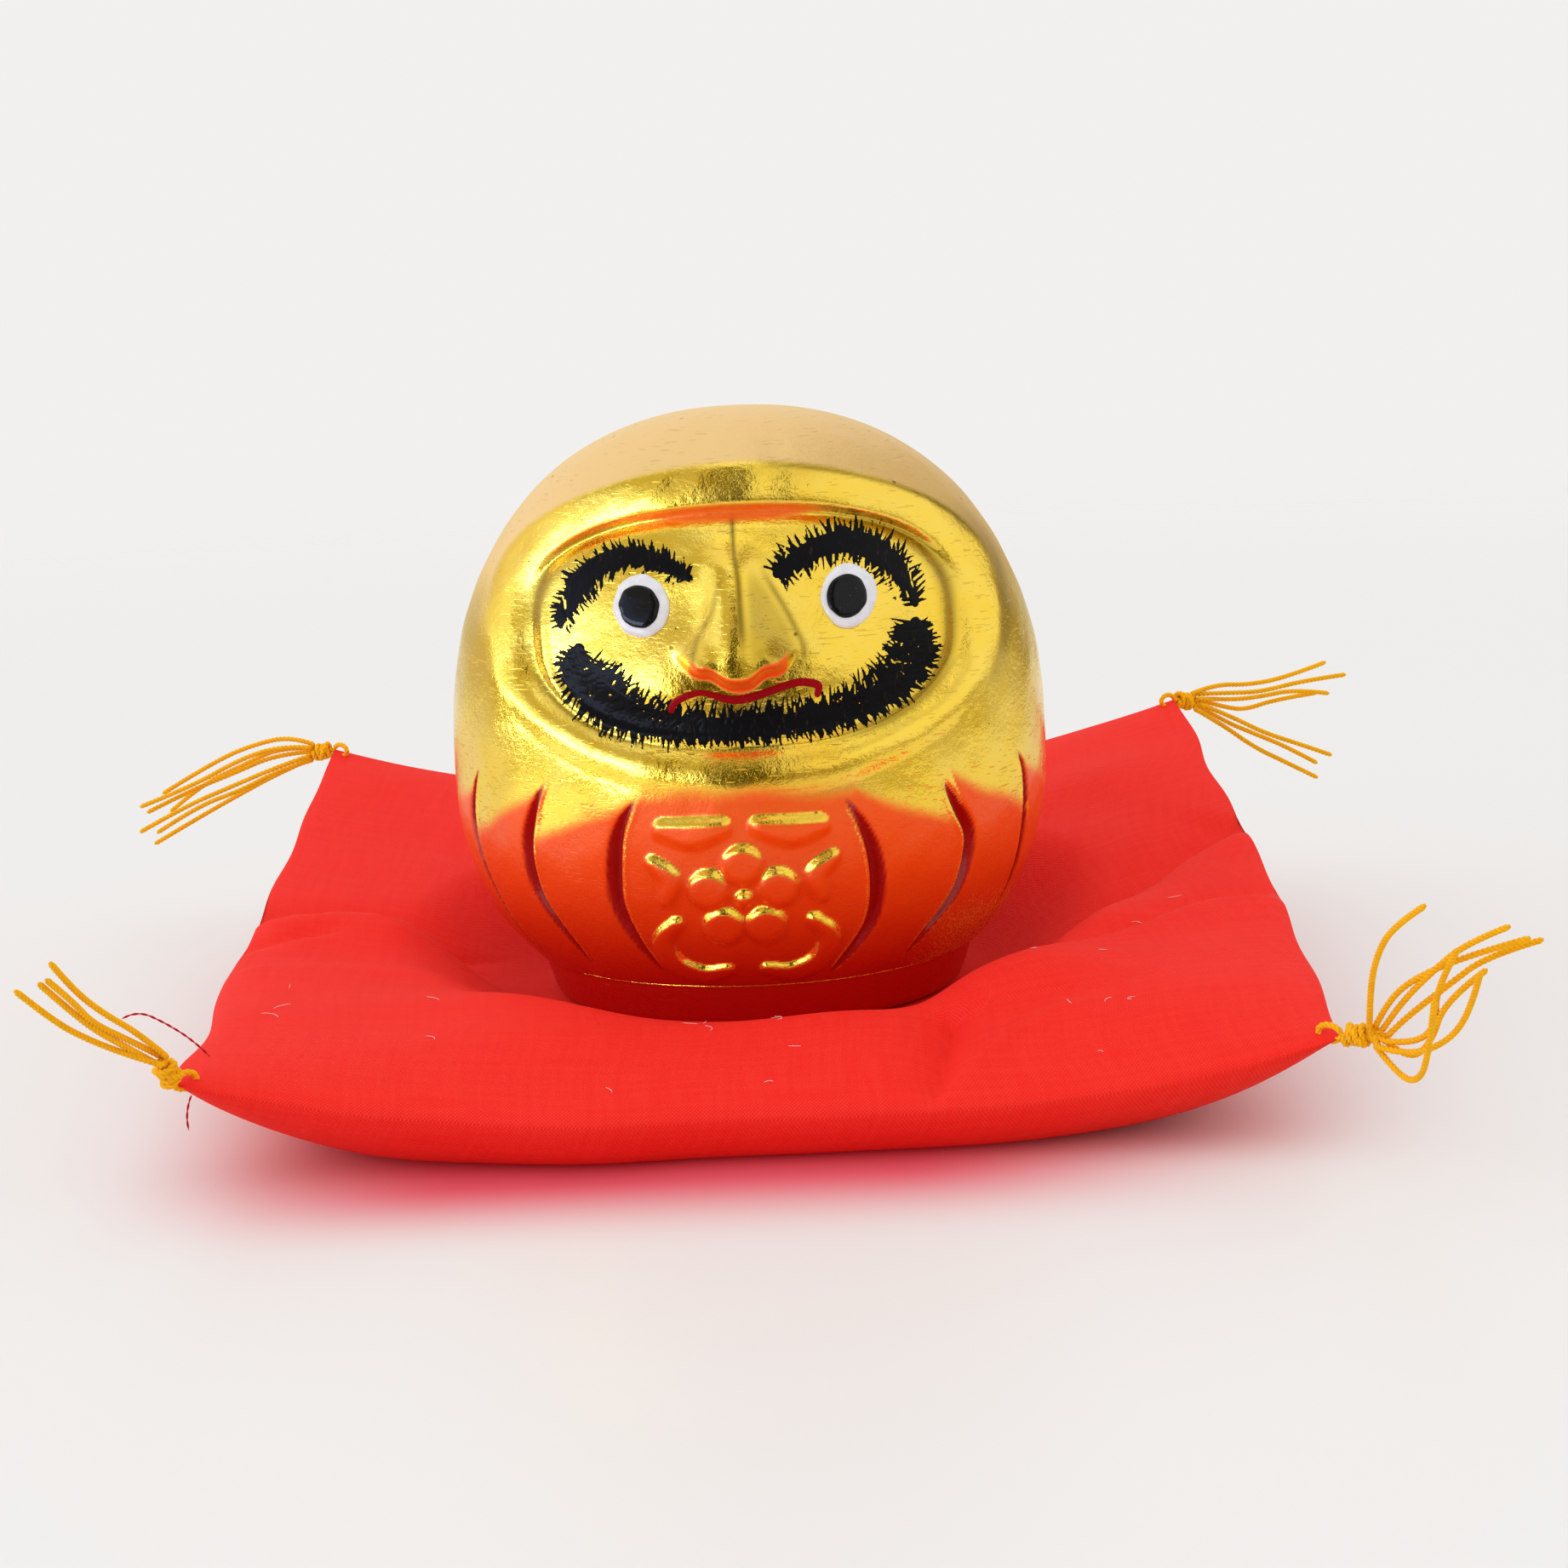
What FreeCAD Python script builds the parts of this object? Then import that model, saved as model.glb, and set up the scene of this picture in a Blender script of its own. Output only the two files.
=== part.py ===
"""Daruma doll on its square cushion, in millimetres.

A hollow cast pottery doll with a hooded, recessed face stands on a small stuffed cushion.  The cushion has
a yarn tassel at each corner.  +Z is up, the doll faces -Y, and the origin is on the table under the doll's
axis, on the cushion's flat underside.
"""
import FreeCAD, Part
import math
import os

Vector = FreeCAD.Vector

# ---- doll body -------------------------------------------------------------------------------------
BELLY_R = 50.4            # widest radius
BELLY_Z = 48.9            # its height above the table
CROWN_H = 57.2            # from the widest level up to the top
CROWN_POWER = 2.25        # squareness of the upper profile
BASE_H = 45.0             # depth of the lower profile, were it closed
BASE_POWER = 2.44
RING_Z = 15.1             # lower end of the belly, where the foot starts
SEAT_Z = 7.5              # underside of the foot
FOOT_TOP_R = 37.2
FOOT_BOTTOM_R = 34.8
FOOT_ROUND = 1.5
FOOT_HOLLOW_R = 28.0      # shallow hollow under the foot, so that it stands on a rim
FOOT_HOLLOW_H = 1.2
WALL = 4.3
VENT_R = 6.0              # hole in the base that lets the cast body dry and fire
NECK_Z = 49.5             # below this level the body is turned, above it the face shapes it
HEAD_STEP = 2.2           # height between the head's rings
NECK_LIP = 0.05           # step between the two halves where they join
CROWN_RINGS = 8
CROWN_FLAT = 0.04         # height of the crown left flat at the very top
RING_POINTS = 80

# ---- face ------------------------------------------------------------------------------------------
FACE_Z = 72.9             # middle of the face opening
FACE_HALF_W = 33.0
FACE_HALF_H = 17.0
FACE_POWER = 2.6
HOOD_BEVEL = 9.5          # width of the hood's sloping rim around the face
HOOD_DROP = 3.2           # depth of the rim's inner edge
FACE_DEPTH = 4.6          # depth of the face below the body's outline
CHIN_ROLL = 1.0           # how far the roll under the chin stands out
EYE_X = 16.1
EYE_Z = 76.9
EYE_W = 8.8
EYE_H = 9.6
EYE_T = 1.5               # how far the white dome stands out
PUPIL_D = 5.9
PUPIL_T = 0.7
DOME_BED = 0.6            # depth of the eyes' enamel below the surface around it
PAINT_T = 0.2             # thickness of the brushed lacquer
FACE_FADE = 0.35          # the face's relief fades out where the body turns away, from this cosine on

# Depth profiles as (distance, height) pairs.  The first two run outwards from the face opening's edge, for
# the hood above and the chin below; the nose's run upwards from the middle of the face.
HOOD_PROFILE = [(-3, -FACE_DEPTH - 0.6), (-0.5, -FACE_DEPTH), (1.5, -HOOD_DROP), (HOOD_BEVEL - 2, -0.4),
                (HOOD_BEVEL + 2, 0)]
CHIN_PROFILE = [(-2, -3.4), (0, -2.0), (1.5, -0.2), (3.5, CHIN_ROLL), (6.2, 0)]
CHEEK_RISE = 1.0          # how far the middle of the face rises towards the viewer
CHEEK_REACH = 10.0        # over this distance from the edge
NOSE_X = -0.9
NOSE_RIDGE = [(-9, 0), (-6, 4.5), (-1, 6.5), (9, 3.0), (17, 0.6)]
NOSE_HALF_W = [(-8, 7.0), (-3, 7.5), (4, 4.2), (16, 3.4)]
NOSE_SHARPNESS = 1.4

# ---- brushed face: (x, height, width) along the middle of each stroke --------------------------------
BROW_LEFT = [(-29.5, 75.9, 5), (-26.5, 80.9, 5.5), (-22, 84.1, 5), (-16.5, 84.7, 4), (-11.5, 83.7, 3.6),
             (-8, 81.5, 3)]
BROW_RIGHT = [(5, 81.1, 3), (8, 82.7, 3.5), (12, 84.4, 4), (17, 84.9, 4.5), (22, 83.4, 5.5), (27, 78.4, 6)]
MOUTH = [(-11.6, 62.1, 1.1), (-8.6, 63.8, 1.1), (-5.5, 63.9, 1.1), (-2.6, 63.2, 1.1), (2.6, 63.7, 1.1),
         (6.9, 64.9, 1.1), (9.2, 65.2, 1.1), (11.4, 63.9, 1.1)]
BEARD_OUTER = [(-30, 70.4), (-30, 64.9), (-26, 60.4), (-20, 58.5), (-12, 57.5), (-4, 57.3),
               (4, 57.5), (12, 57.7), (20, 58.9), (26.5, 61.4), (30.5, 65.9), (30.5, 71.9)]
BEARD_INNER = [(-24, 69.9), (-21, 66.9), (-17.5, 64.9), (-13.5, 62.5), (-8, 60.9), (-3, 60.5),
               (3, 60.7), (9, 61.1), (15, 62.3), (20.5, 64.9), (24, 68.4), (25.5, 72.9)]

# ---- belly motif -------------------------------------------------------------------------------------
BLOSSOM_X = -1.5
BLOSSOM_Z = 31.6
BLOSSOM_R = 5.7           # from its middle to the middle of a petal
PETALS = 5
PETAL_BALL_R = 3.2
PETAL_BED = 1.2           # depth of a petal's middle below the surface
HEART_BALL_R = 1.8
HEART_BED = 0.9
# Strokes beside the blossom, each with its mirror image: (x from the blossom's middle, height).
CLOUD_BELOW = [(3.1, 18.8), (7.1, 17.8), (11.4, 19.9), (13.1, 24.4), (10.9, 27.4)]
CLOUD_ABOVE = [(12.1, 43.2), (7.7, 42.6), (2.9, 43.6)]
LEAF = [(14.1, 37.8), (11.8, 35.2), (12.1, 31.6)]
CLOUD_HALF_W = 1.6
LEAF_HALF_W = 1.3

# ---- pleats: (azimuth in degrees, height) down the middle of each cut, left to right -----------------
PLEAT_DEPTH = 2.0
PLEAT_WIDTH = 3.6
PLEATS = [
    [(-63.0, 49.0), (-67.0, 41.0), (-66.0, 32.0), (-63.0, 24.0), (-60.0, 17.5)],
    [(-42.0, 49.0), (-46.0, 39.5), (-47.0, 31.0), (-42.0, 21.5), (-41.5, 18.0)],
    [(-21.0, 47.3), (-25.0, 39.5), (-27.0, 31.0), (-25.5, 24.0), (-22.0, 18.0)],
    [(17.5, 46.5), (22.5, 38.0), (24.0, 31.5), (23.5, 25.5), (18.0, 17.5)],
    [(38.5, 46.5), (45.5, 37.5), (43.5, 29.5), (38.5, 22.0), (37.0, 18.5)],
    [(61.0, 49.0), (64.0, 40.0), (65.0, 31.0), (64.0, 24.5), (61.0, 18.5)],
]

# ---- cushion ---------------------------------------------------------------------------------------
CUSHION_HALF_W = 84.0
CUSHION_FRONT_Y = -89.6
CUSHION_BACK_Y = 85.4
SIDE_BULGE = 2.5          # how far the middle of the left and right edges stands out
CORNER_Z = {"front_left": 17.0, "front_right": 17.0, "back_left": 37.0, "back_right": 40.0}
# Height of the seam along each edge: at its middle, then the linear and the curved part of its rise.
LEFT_SEAM = (20.5, 10.0, 6.5)
RIGHT_SEAM = (25.5, 11.75, 2.75)
FRONT_SEAM = (8.0, 9.0)
BACK_SEAM = (25.0, 1.5, 13.5)
CLOTH_T = 0.5
SEAT_GAP = 0.3            # clearance under the foot
SEAT_R = 37.5             # flat, pressed-down seat
SEAT_SLOPE = 26.0         # width of the slope around it
LOFT_UP = 9.0             # stuffing above the seam
LOFT_DOWN = 14.0          # stuffing below it
UNDERSIDE_DIP = -0.35     # the underside's surface before it is trimmed flat at the table
UNDERSIDE_SOFTNESS = 1.5  # how gently it comes down to the table
WADDING_REACH = 0.93      # part of the cushion's half width that the wadding fills
WADDING_GAP = 0.15        # between the wadding and the cloth
CUSHION_STEPS = 24

# ---- tassels ---------------------------------------------------------------------------------------
YARN_D = 1.0
THREAD_D = 0.35
KNOT_R = 1.9
KNOT_GAP = 0.9            # from the corner's tip to the knot
STITCH_R = 2.0            # yarn loop through the corner
STITCH_INSET = 5.5        # its middle, measured in from the tip
KNOT_WRAPS = 4
KNOT_GROOVE = 0.35        # depth of the grooves between the wraps

# Each tassel: the corner's tip, the middle of the knot's outer face, and the route of each strand.
TASSELS = {
    "front_left": ((-84.0, -89.6, 17.0), (-84.6, -92.4, 21.2), [
        [(-84, -93, 22), (-86.5, -98.5, 27), (-89.5, -105, 31.5), (-92, -111, 36.5), (-93, -118, 42)],
        [(-85, -92.5, 22), (-87.5, -99, 26), (-91, -106, 30.5), (-92, -111.5, 35), (-94, -117, 39.5)],
        [(-85.5, -93, 21), (-88, -99, 25), (-91, -105.5, 29.5), (-93.5, -111, 34.5), (-95, -117, 39)],
        [(-84.5, -94, 21), (-88.5, -98.5, 24), (-92, -105, 28), (-95, -110.5, 32), (-98.2, -117.2, 38.2)],
    ]),
    "front_right": ((84.0, -89.6, 17.0), (88.0, -92.0, 17.4), [
        [(87.5, -92.5, 18.8), (86.5, -98, 25.5), (86, -105.5, 32.5), (87, -112, 38), (90, -118, 42)],
        [(88.5, -92, 18.8), (89.5, -96, 23.5), (92.5, -99.5, 27.5), (99, -105.5, 32), (105.5, -112, 35.5)],
        [(89.5, -92.5, 18.5), (91, -96.5, 23), (94.5, -102, 29), (98, -107, 34), (102.5, -113, 37.5)],
        [(90, -93, 17.5), (92, -95, 20.5), (97, -100.5, 26.5), (101.5, -104.5, 31.5), (107.5, -111, 35)],
        [(89.5, -94, 17), (93, -98, 17.5), (95, -102.5, 21.5), (93.5, -107.5, 27.5), (94.8, -116, 35.4)],
        [(90, -92.5, 16.5), (92.5, -96, 14.5), (94.5, -101, 18.5), (95, -107, 26), (99, -114.5, 32)],
        [(88.5, -94, 16.2), (92, -99, 16), (96.5, -104, 19.5), (98, -110, 25.5), (97.3, -118, 32.4)],
        [(88.5, -92.5, 15.8), (90.5, -98, 13), (92, -103.5, 13.5), (92.5, -108, 18), (91.4, -117, 28.6)],
    ]),
    "back_left": ((-84.0, 85.4, 37.0), (-88.6, 87.0, 36.2), [
        [(-88.5, 87, 38), (-93, 88.5, 39.5), (-100.5, 91, 38), (-109.5, 93.5, 34.5), (-121.5, 97, 27.5)],
        [(-89, 86, 37.5), (-95, 86.5, 38), (-103.5, 87.5, 35.5), (-114, 89.5, 30), (-125, 91, 26)],
        [(-89.5, 88.5, 37), (-96, 91, 37), (-104.5, 94.5, 33), (-113.5, 98, 29), (-121, 101, 23)],
        [(-89.5, 87, 36.5), (-96.5, 88, 36), (-105, 89, 32.5), (-114.5, 91, 29), (-124, 92.5, 24.5)],
        [(-89.5, 85.5, 35.8), (-96, 84, 34), (-105, 84.5, 30.5), (-114.5, 83.5, 27), (-124, 84.5, 22)],
        [(-89, 88, 35), (-96, 90.5, 32), (-104, 92, 28), (-113.5, 94, 23), (-123.5, 95, 17.5)],
        [(-89, 86.5, 34.8), (-95.5, 87.5, 33), (-104, 87.5, 29), (-113, 89.5, 26), (-122, 91, 20.5)],
    ]),
    "back_right": ((84.0, 85.4, 40.0), (88.2, 87.4, 39.0), [
        [(88, 87, 40.8), (93, 90, 42), (100.5, 94, 41), (109, 99, 41.5), (118, 104.5, 43.5)],
        [(88.5, 88, 40.5), (94, 88, 40.5), (102, 90, 40), (111, 93, 41.5), (120.5, 96, 42)],
        [(89, 86.5, 39.8), (96, 91, 38.5), (103, 94, 38.5), (110.5, 98.5, 39), (118, 101, 37.5)],
        [(89.5, 88, 39.2), (95, 92, 37), (100, 96.5, 35.5), (106.5, 99, 37), (116, 104.4, 37.2)],
        [(89.5, 87, 38.6), (96, 89, 35.5), (103, 91, 31.5), (110.5, 93.5, 28.5), (117.5, 96, 25.5)],
        [(89, 89, 38.2), (95, 93, 34), (102, 96, 30.5), (109, 99.5, 27), (115.5, 101.5, 23)],
        [(88.5, 86.5, 37.6), (94, 90, 34), (101, 92, 28.5), (108, 96, 24.5), (115, 98.5, 20.5)],
    ]),
}
# Loose ends of sewing thread at the front left corner, clear of the tassel.
THREAD_TAILS = [
    [(-79.5, -84.5, 19.5), (-81.5, -85, 22), (-85, -86, 25), (-89, -87, 27.5), (-91, -88, 26.5)],
    [(-82, -87.5, 14.6), (-83, -88.5, 12.2), (-82.3, -89.6, 10)],
]


def smooth_step(t):
    t = min(max(t, 0.0), 1.0)
    return t * t * (3 - 2 * t)


def through(table, value):
    """Read a list of (place, height) pairs at one place, with straight lines between them."""
    if value <= table[0][0]:
        return table[0][1]
    for (x0, y0), (x1, y1) in zip(table, table[1:]):
        if value <= x1:
            return y0 + (y1 - y0) * (value - x0) / (x1 - x0)
    return table[-1][1]


# ---- doll ------------------------------------------------------------------------------------------
def body_radius(z, inset=0.0):
    """Radius of the plain body at height z."""
    rise = z - BELLY_Z
    reach = (CROWN_H if rise > 0 else BASE_H) - inset
    power = CROWN_POWER if rise > 0 else BASE_POWER
    part = min(abs(rise) / reach, 1.0)
    return (BELLY_R - inset) * (1 - part ** power) ** (1 / power)


def edge_distance(x, z):
    """Distance from the face opening's edge, negative inside it."""
    dz = z - FACE_Z
    reach = math.hypot(x, dz)
    if reach < 1e-6:
        return -FACE_HALF_H
    size = (abs(x) / FACE_HALF_W) ** FACE_POWER + (abs(dz) / FACE_HALF_H) ** FACE_POWER
    return reach * (1 - size ** (-1 / FACE_POWER))


def nose(x, z):
    """Height of the nose: a narrow bridge that widens to two wings."""
    ridge = through(NOSE_RIDGE, z - FACE_Z)
    half_w = through(NOSE_HALF_W, z - FACE_Z)
    return ridge * math.exp(-((x - NOSE_X) / half_w) ** 2 * NOSE_SHARPNESS)


def relief(x, z):
    """How far the front of the body stands out towards -Y at a place of the plain body."""
    edge = edge_distance(x, z)
    low = smooth_step((FACE_Z - 6 - z) / 10)
    rim = through(HOOD_PROFILE, edge) * (1 - low) + through(CHIN_PROFILE, edge) * low
    if edge >= 0:
        return rim
    return rim + CHEEK_RISE * smooth_step((-edge - 2) / CHEEK_REACH) + nose(x, z)


def skin_point(azimuth, z, inset=0.0, features=True):
    """Point of the body's surface; azimuth 0 is the front and +90 the +X side."""
    radius = body_radius(z, inset)
    x = radius * math.sin(azimuth)
    y = -radius * math.cos(azimuth)
    if features and math.cos(azimuth) > 0:
        fade = smooth_step(math.cos(azimuth) / FACE_FADE)
        y -= relief(x, z) * fade
    return Vector(x, y, z)


def front_y(x, z):
    """Y of the body's front surface at a place seen from the front."""
    radius = body_radius(z)
    return -math.sqrt(max(radius * radius - x * x, 0.0)) - relief(x, z)


def closed_curve(points):
    curve = Part.BSplineCurve()
    curve.interpolate(Points=points, PeriodicFlag=True)
    return Part.Wire([curve.toShape()])


def ring_heights(bottom, top, step, inset=0.0):
    """Even steps up to the top of the face, then steps that crowd together towards the crown."""
    face_top = FACE_Z + FACE_HALF_H + HOOD_BEVEL
    count = round((face_top - bottom) / step)
    heights = [bottom + (face_top - bottom) * k / count for k in range(count)]
    reach = CROWN_H - inset
    first = math.asin(((face_top - BELLY_Z) / reach) ** (CROWN_POWER / 2))
    last = math.asin(((top - BELLY_Z) / reach) ** (CROWN_POWER / 2))
    crown = [first + (last - first) * k / CROWN_RINGS for k in range(CROWN_RINGS + 1)]
    return heights + [BELLY_Z + reach * math.sin(angle) ** (2 / CROWN_POWER) for angle in crown]


def head_loft(top, step, inset=0.0, lip=0.0):
    """The head from level rings, each starting at the back; the lowest one is set in by lip."""
    angles = [math.pi + 2 * math.pi * k / RING_POINTS for k in range(RING_POINTS)]
    wires = []
    for z in ring_heights(NECK_Z, top, step, inset):
        ring_inset = inset + (lip if z == NECK_Z else 0.0)
        wires.append(closed_curve([skin_point(angle, z, ring_inset) for angle in angles]))
    return Part.makeLoft(wires, True, False)


def line(start, end):
    return Part.LineSegment(start, end).toShape()


def turned(edges):
    return Part.Face(Part.Wire(edges)).revolve(Vector(0, 0, 0), Vector(0, 0, 1), 360)


def profile_curve(bottom, top, inset=0.0, steps=10):
    """The side of the plain body between two heights."""
    heights = [bottom + (top - bottom) * k / steps for k in range(steps + 1)]
    curve = Part.BSplineCurve()
    curve.interpolate([Vector(body_radius(z, inset), 0, z) for z in heights])
    return curve.toShape()


def belly_and_foot():
    """Turned lower half: the foot with its rounded edge and hollow underside, and the belly above it."""
    r, z = FOOT_BOTTOM_R, SEAT_Z
    lean = (FOOT_TOP_R - r) / (RING_Z - z)
    start = Vector(r - FOOT_ROUND, 0, z)
    middle = Vector(r - 0.3 * FOOT_ROUND, 0, z + 0.3 * FOOT_ROUND)
    end = Vector(r + lean * FOOT_ROUND, 0, z + FOOT_ROUND)
    ledge = Vector(FOOT_TOP_R, 0, RING_Z)
    solid = turned([
        line(Vector(0, 0, z), start),
        Part.Arc(start, middle, end).toShape(),
        line(end, ledge),
        line(ledge, Vector(body_radius(RING_Z), 0, RING_Z)),
        profile_curve(RING_Z, NECK_Z),
        line(Vector(body_radius(NECK_Z), 0, NECK_Z), Vector(0, 0, NECK_Z)),
        line(Vector(0, 0, NECK_Z), Vector(0, 0, z)),
    ])
    hollow = Part.makeCone(FOOT_HOLLOW_R, FOOT_HOLLOW_R - 1, FOOT_HOLLOW_H, Vector(0, 0, SEAT_Z))
    return solid.cut(hollow)


def belly_cavity():
    floor_z = SEAT_Z + 2 * WALL
    floor_r = body_radius(floor_z, WALL)
    neck_r = body_radius(NECK_Z, WALL)
    return turned([
        line(Vector(0, 0, floor_z), Vector(floor_r, 0, floor_z)),
        profile_curve(floor_z, NECK_Z, WALL),
        line(Vector(neck_r, 0, NECK_Z), Vector(0, 0, NECK_Z)),
        line(Vector(0, 0, NECK_Z), Vector(0, 0, floor_z)),
    ])


def pleat_band():
    """The outer layer of the belly that the pleats are cut from."""
    low = RING_Z + 1.5
    high = NECK_Z - 0.1
    beyond = BELLY_R + 6
    inner = profile_curve(low, high)
    inner.translate(Vector(-PLEAT_DEPTH, 0, 0))
    return turned([
        inner,
        line(Vector(body_radius(high) - PLEAT_DEPTH, 0, high), Vector(beyond, 0, high)),
        line(Vector(beyond, 0, high), Vector(beyond, 0, low)),
        line(Vector(beyond, 0, low), Vector(body_radius(low) - PLEAT_DEPTH, 0, low)),
    ])


def pleat_cutter(route, band):
    """A crescent seen square on, pushed outwards from the axis and limited to the outer layer."""
    middle = math.radians(sum(angle for angle, z in route) / len(route))
    across = Vector(math.cos(middle), math.sin(middle), 0)
    outwards = Vector(math.sin(middle), -math.cos(middle), 0)
    left, right = [], []
    for index, (angle, z) in enumerate(route):
        offset = body_radius(z) * math.sin(math.radians(angle) - middle)
        half = 0.5 * PLEAT_WIDTH * math.sin(math.pi * index / (len(route) - 1))
        left.append(across * (offset - half) + Vector(0, 0, z))
        right.append(across * (offset + half) + Vector(0, 0, z))
    edges = []
    for side in (left, right):
        curve = Part.BSplineCurve()
        curve.interpolate(side)
        edges.append(curve.toShape())
    face = Part.Face(Part.Wire(edges))
    face.translate(outwards * 20)
    return face.extrude(outwards * 45).common(band)


def doll_body():
    """The cast shell: turned lower half with cut pleats, head on top of it, hollow inside."""
    crown = BELLY_Z + CROWN_H
    lower = belly_and_foot()
    band = pleat_band()
    for route in PLEATS:
        lower = lower.cut(pleat_cutter(route, band))
    lower = lower.cut(belly_cavity()).cut(Part.makeCylinder(VENT_R, 2 * WALL + SEAT_Z + 1))
    head = head_loft(crown - CROWN_FLAT, HEAD_STEP, 0.0, NECK_LIP)
    head = head.cut(head_loft(crown - WALL - 2 * CROWN_FLAT, 2 * HEAD_STEP, WALL, -NECK_LIP))
    return lower.fuse(head)


def patch_on_face(inner_edge, outer_edge, thickness=PAINT_T):
    """A thin film on the face between two lines of (x, height) points, bedded in the surface."""
    rows = 5
    grid = []
    for (xa, za), (xb, zb) in zip(inner_edge, outer_edge):
        line = []
        for k in range(rows):
            x = xa + (xb - xa) * k / (rows - 1)
            z = za + (zb - za) * k / (rows - 1)
            line.append(Vector(x, front_y(x, z) + 0.5 * thickness, z))
        grid.append(line)
    surface = Part.BSplineSurface()
    surface.interpolate(grid)
    return surface.toShape().extrude(Vector(0, -1.5 * thickness, 0))


def dome(x, z, width, height, thickness, proud=0.0):
    """A raised drop of enamel on the face, square to the surface there."""
    ball = Part.makeSphere(1.0)
    squash = FreeCAD.Matrix()
    squash.scale(width / 2, thickness + DOME_BED, height / 2)
    ball = ball.transformGeometry(squash)
    slope = (front_y(x + 2, z) - front_y(x - 2, z)) / 4
    turn = math.degrees(math.atan(slope))
    ball.rotate(Vector(0, 0, 0), Vector(0, 0, 1), turn)
    ball.translate(Vector(x, front_y(x, z) + DOME_BED - proud, z))
    return ball


def stroke(points, half_w):
    """A raised, rounded stroke on the belly along (x, height) points."""
    path = [Vector(x, -math.sqrt(body_radius(z) ** 2 - x * x) + 0.15 * half_w, z) for x, z in points]
    curve = Part.BSplineCurve()
    curve.interpolate(path)
    spine = Part.Wire([curve.toShape()])
    tangent = curve.tangent(curve.FirstParameter)[0]
    ring = Part.Wire([Part.Circle(path[0], tangent, half_w).toShape()])
    tube = spine.makePipeShell([ring], True, True)
    ends = [Part.makeSphere(half_w, path[0]), Part.makeSphere(half_w, path[-1])]
    return tube.multiFuse(ends)


def ball_on_belly(x, z, radius, bed):
    """A ball sunk into the belly by bed more than to its middle."""
    y = -math.sqrt(body_radius(z) ** 2 - x ** 2)
    return Part.makeSphere(radius, Vector(x, y + bed, z))


def belly_relief():
    """A plum blossom over two curled cloud bands, in rounded strokes."""
    solids = [ball_on_belly(BLOSSOM_X, BLOSSOM_Z, HEART_BALL_R, HEART_BED)]
    for k in range(PETALS):
        angle = math.radians(90 + 360 * k / PETALS)
        x = BLOSSOM_X + BLOSSOM_R * math.cos(angle)
        z = BLOSSOM_Z + BLOSSOM_R * math.sin(angle)
        solids.append(ball_on_belly(x, z, PETAL_BALL_R, PETAL_BED))
    strokes = [(CLOUD_BELOW, CLOUD_HALF_W), (CLOUD_ABOVE, CLOUD_HALF_W), (LEAF, LEAF_HALF_W)]
    for points, half_w in strokes:
        for side in (-1, 1):
            solids.append(stroke([(BLOSSOM_X + side * x, z) for x, z in points], half_w))
    return Part.makeCompound(solids)


def brushed(points):
    """A brushed stroke from the (x, height, width) points along its middle."""
    upper = [(x, z + width / 2) for x, z, width in points]
    lower = [(x, z - width / 2) for x, z, width in points]
    return patch_on_face(lower, upper)


def face_paint():
    return {
        "brow_left": brushed(BROW_LEFT),
        "brow_right": brushed(BROW_RIGHT),
        "beard": patch_on_face(BEARD_OUTER, BEARD_INNER),
        "mouth_line": brushed(MOUTH),
    }


# ---- cushion ---------------------------------------------------------------------------------------
def edge_heights(u, v):
    """Heights of the left, right, front and back seam at u across and v back, both from -1 to 1."""
    left = LEFT_SEAM[0] + LEFT_SEAM[1] * v + LEFT_SEAM[2] * v * v
    right = RIGHT_SEAM[0] + RIGHT_SEAM[1] * v + RIGHT_SEAM[2] * v * v
    front = FRONT_SEAM[0] + FRONT_SEAM[1] * abs(u) ** 3
    back = BACK_SEAM[0] + BACK_SEAM[1] * u + BACK_SEAM[2] * u * u
    return left, right, front, back


def seam_level(u, v):
    """A smooth sheet through the four seams."""
    left, right, front, back = edge_heights(u, v)
    a, b = (1 + u) / 2, (1 + v) / 2
    front_corners = CORNER_Z["front_left"] * (1 - a) + CORNER_Z["front_right"] * a
    back_corners = CORNER_Z["back_left"] * (1 - a) + CORNER_Z["back_right"] * a
    sheet = left * (1 - a) + right * a + front * (1 - b) + back * b
    return sheet - front_corners * (1 - b) - back_corners * b


def plan(u, v):
    x = CUSHION_HALF_W * u + SIDE_BULGE * (1 - v * v) * u
    y = (CUSHION_FRONT_Y + CUSHION_BACK_Y) / 2 + (CUSHION_BACK_Y - CUSHION_FRONT_Y) / 2 * v
    return x, y


def top_point(u, v, drop=0.0):
    x, y = plan(u, v)
    z = seam_level(u, v) + LOFT_UP * (1 - u ** 4) * (1 - v ** 4) + CLOTH_T
    pressed = 1 - smooth_step((math.hypot(x, y) - SEAT_R) / SEAT_SLOPE)
    z += pressed * (SEAT_Z - SEAT_GAP - z)
    return Vector(x, y, z - drop)


def bottom_point(u, v, rise=0.0):
    x, y = plan(u, v)
    raw = seam_level(u, v) - LOFT_DOWN * (1 - u ** 6) * (1 - v ** 6) - CLOTH_T
    z = 0.5 * (raw + UNDERSIDE_DIP + math.sqrt((raw - UNDERSIDE_DIP) ** 2 + UNDERSIDE_SOFTNESS ** 2))
    return Vector(x, y, z + rise)


def sheet_face(point, reach=1.0, offset=0.0):
    steps = CUSHION_STEPS
    grid = [[point(reach * (2 * i / steps - 1), reach * (2 * j / steps - 1), offset) for j in range(steps + 1)]
            for i in range(steps + 1)]
    surface = Part.BSplineSurface()
    surface.interpolate(grid)
    return surface.toShape()


def edge_middle(edge):
    return edge.valueAt((edge.FirstParameter + edge.LastParameter) / 2)


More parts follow.
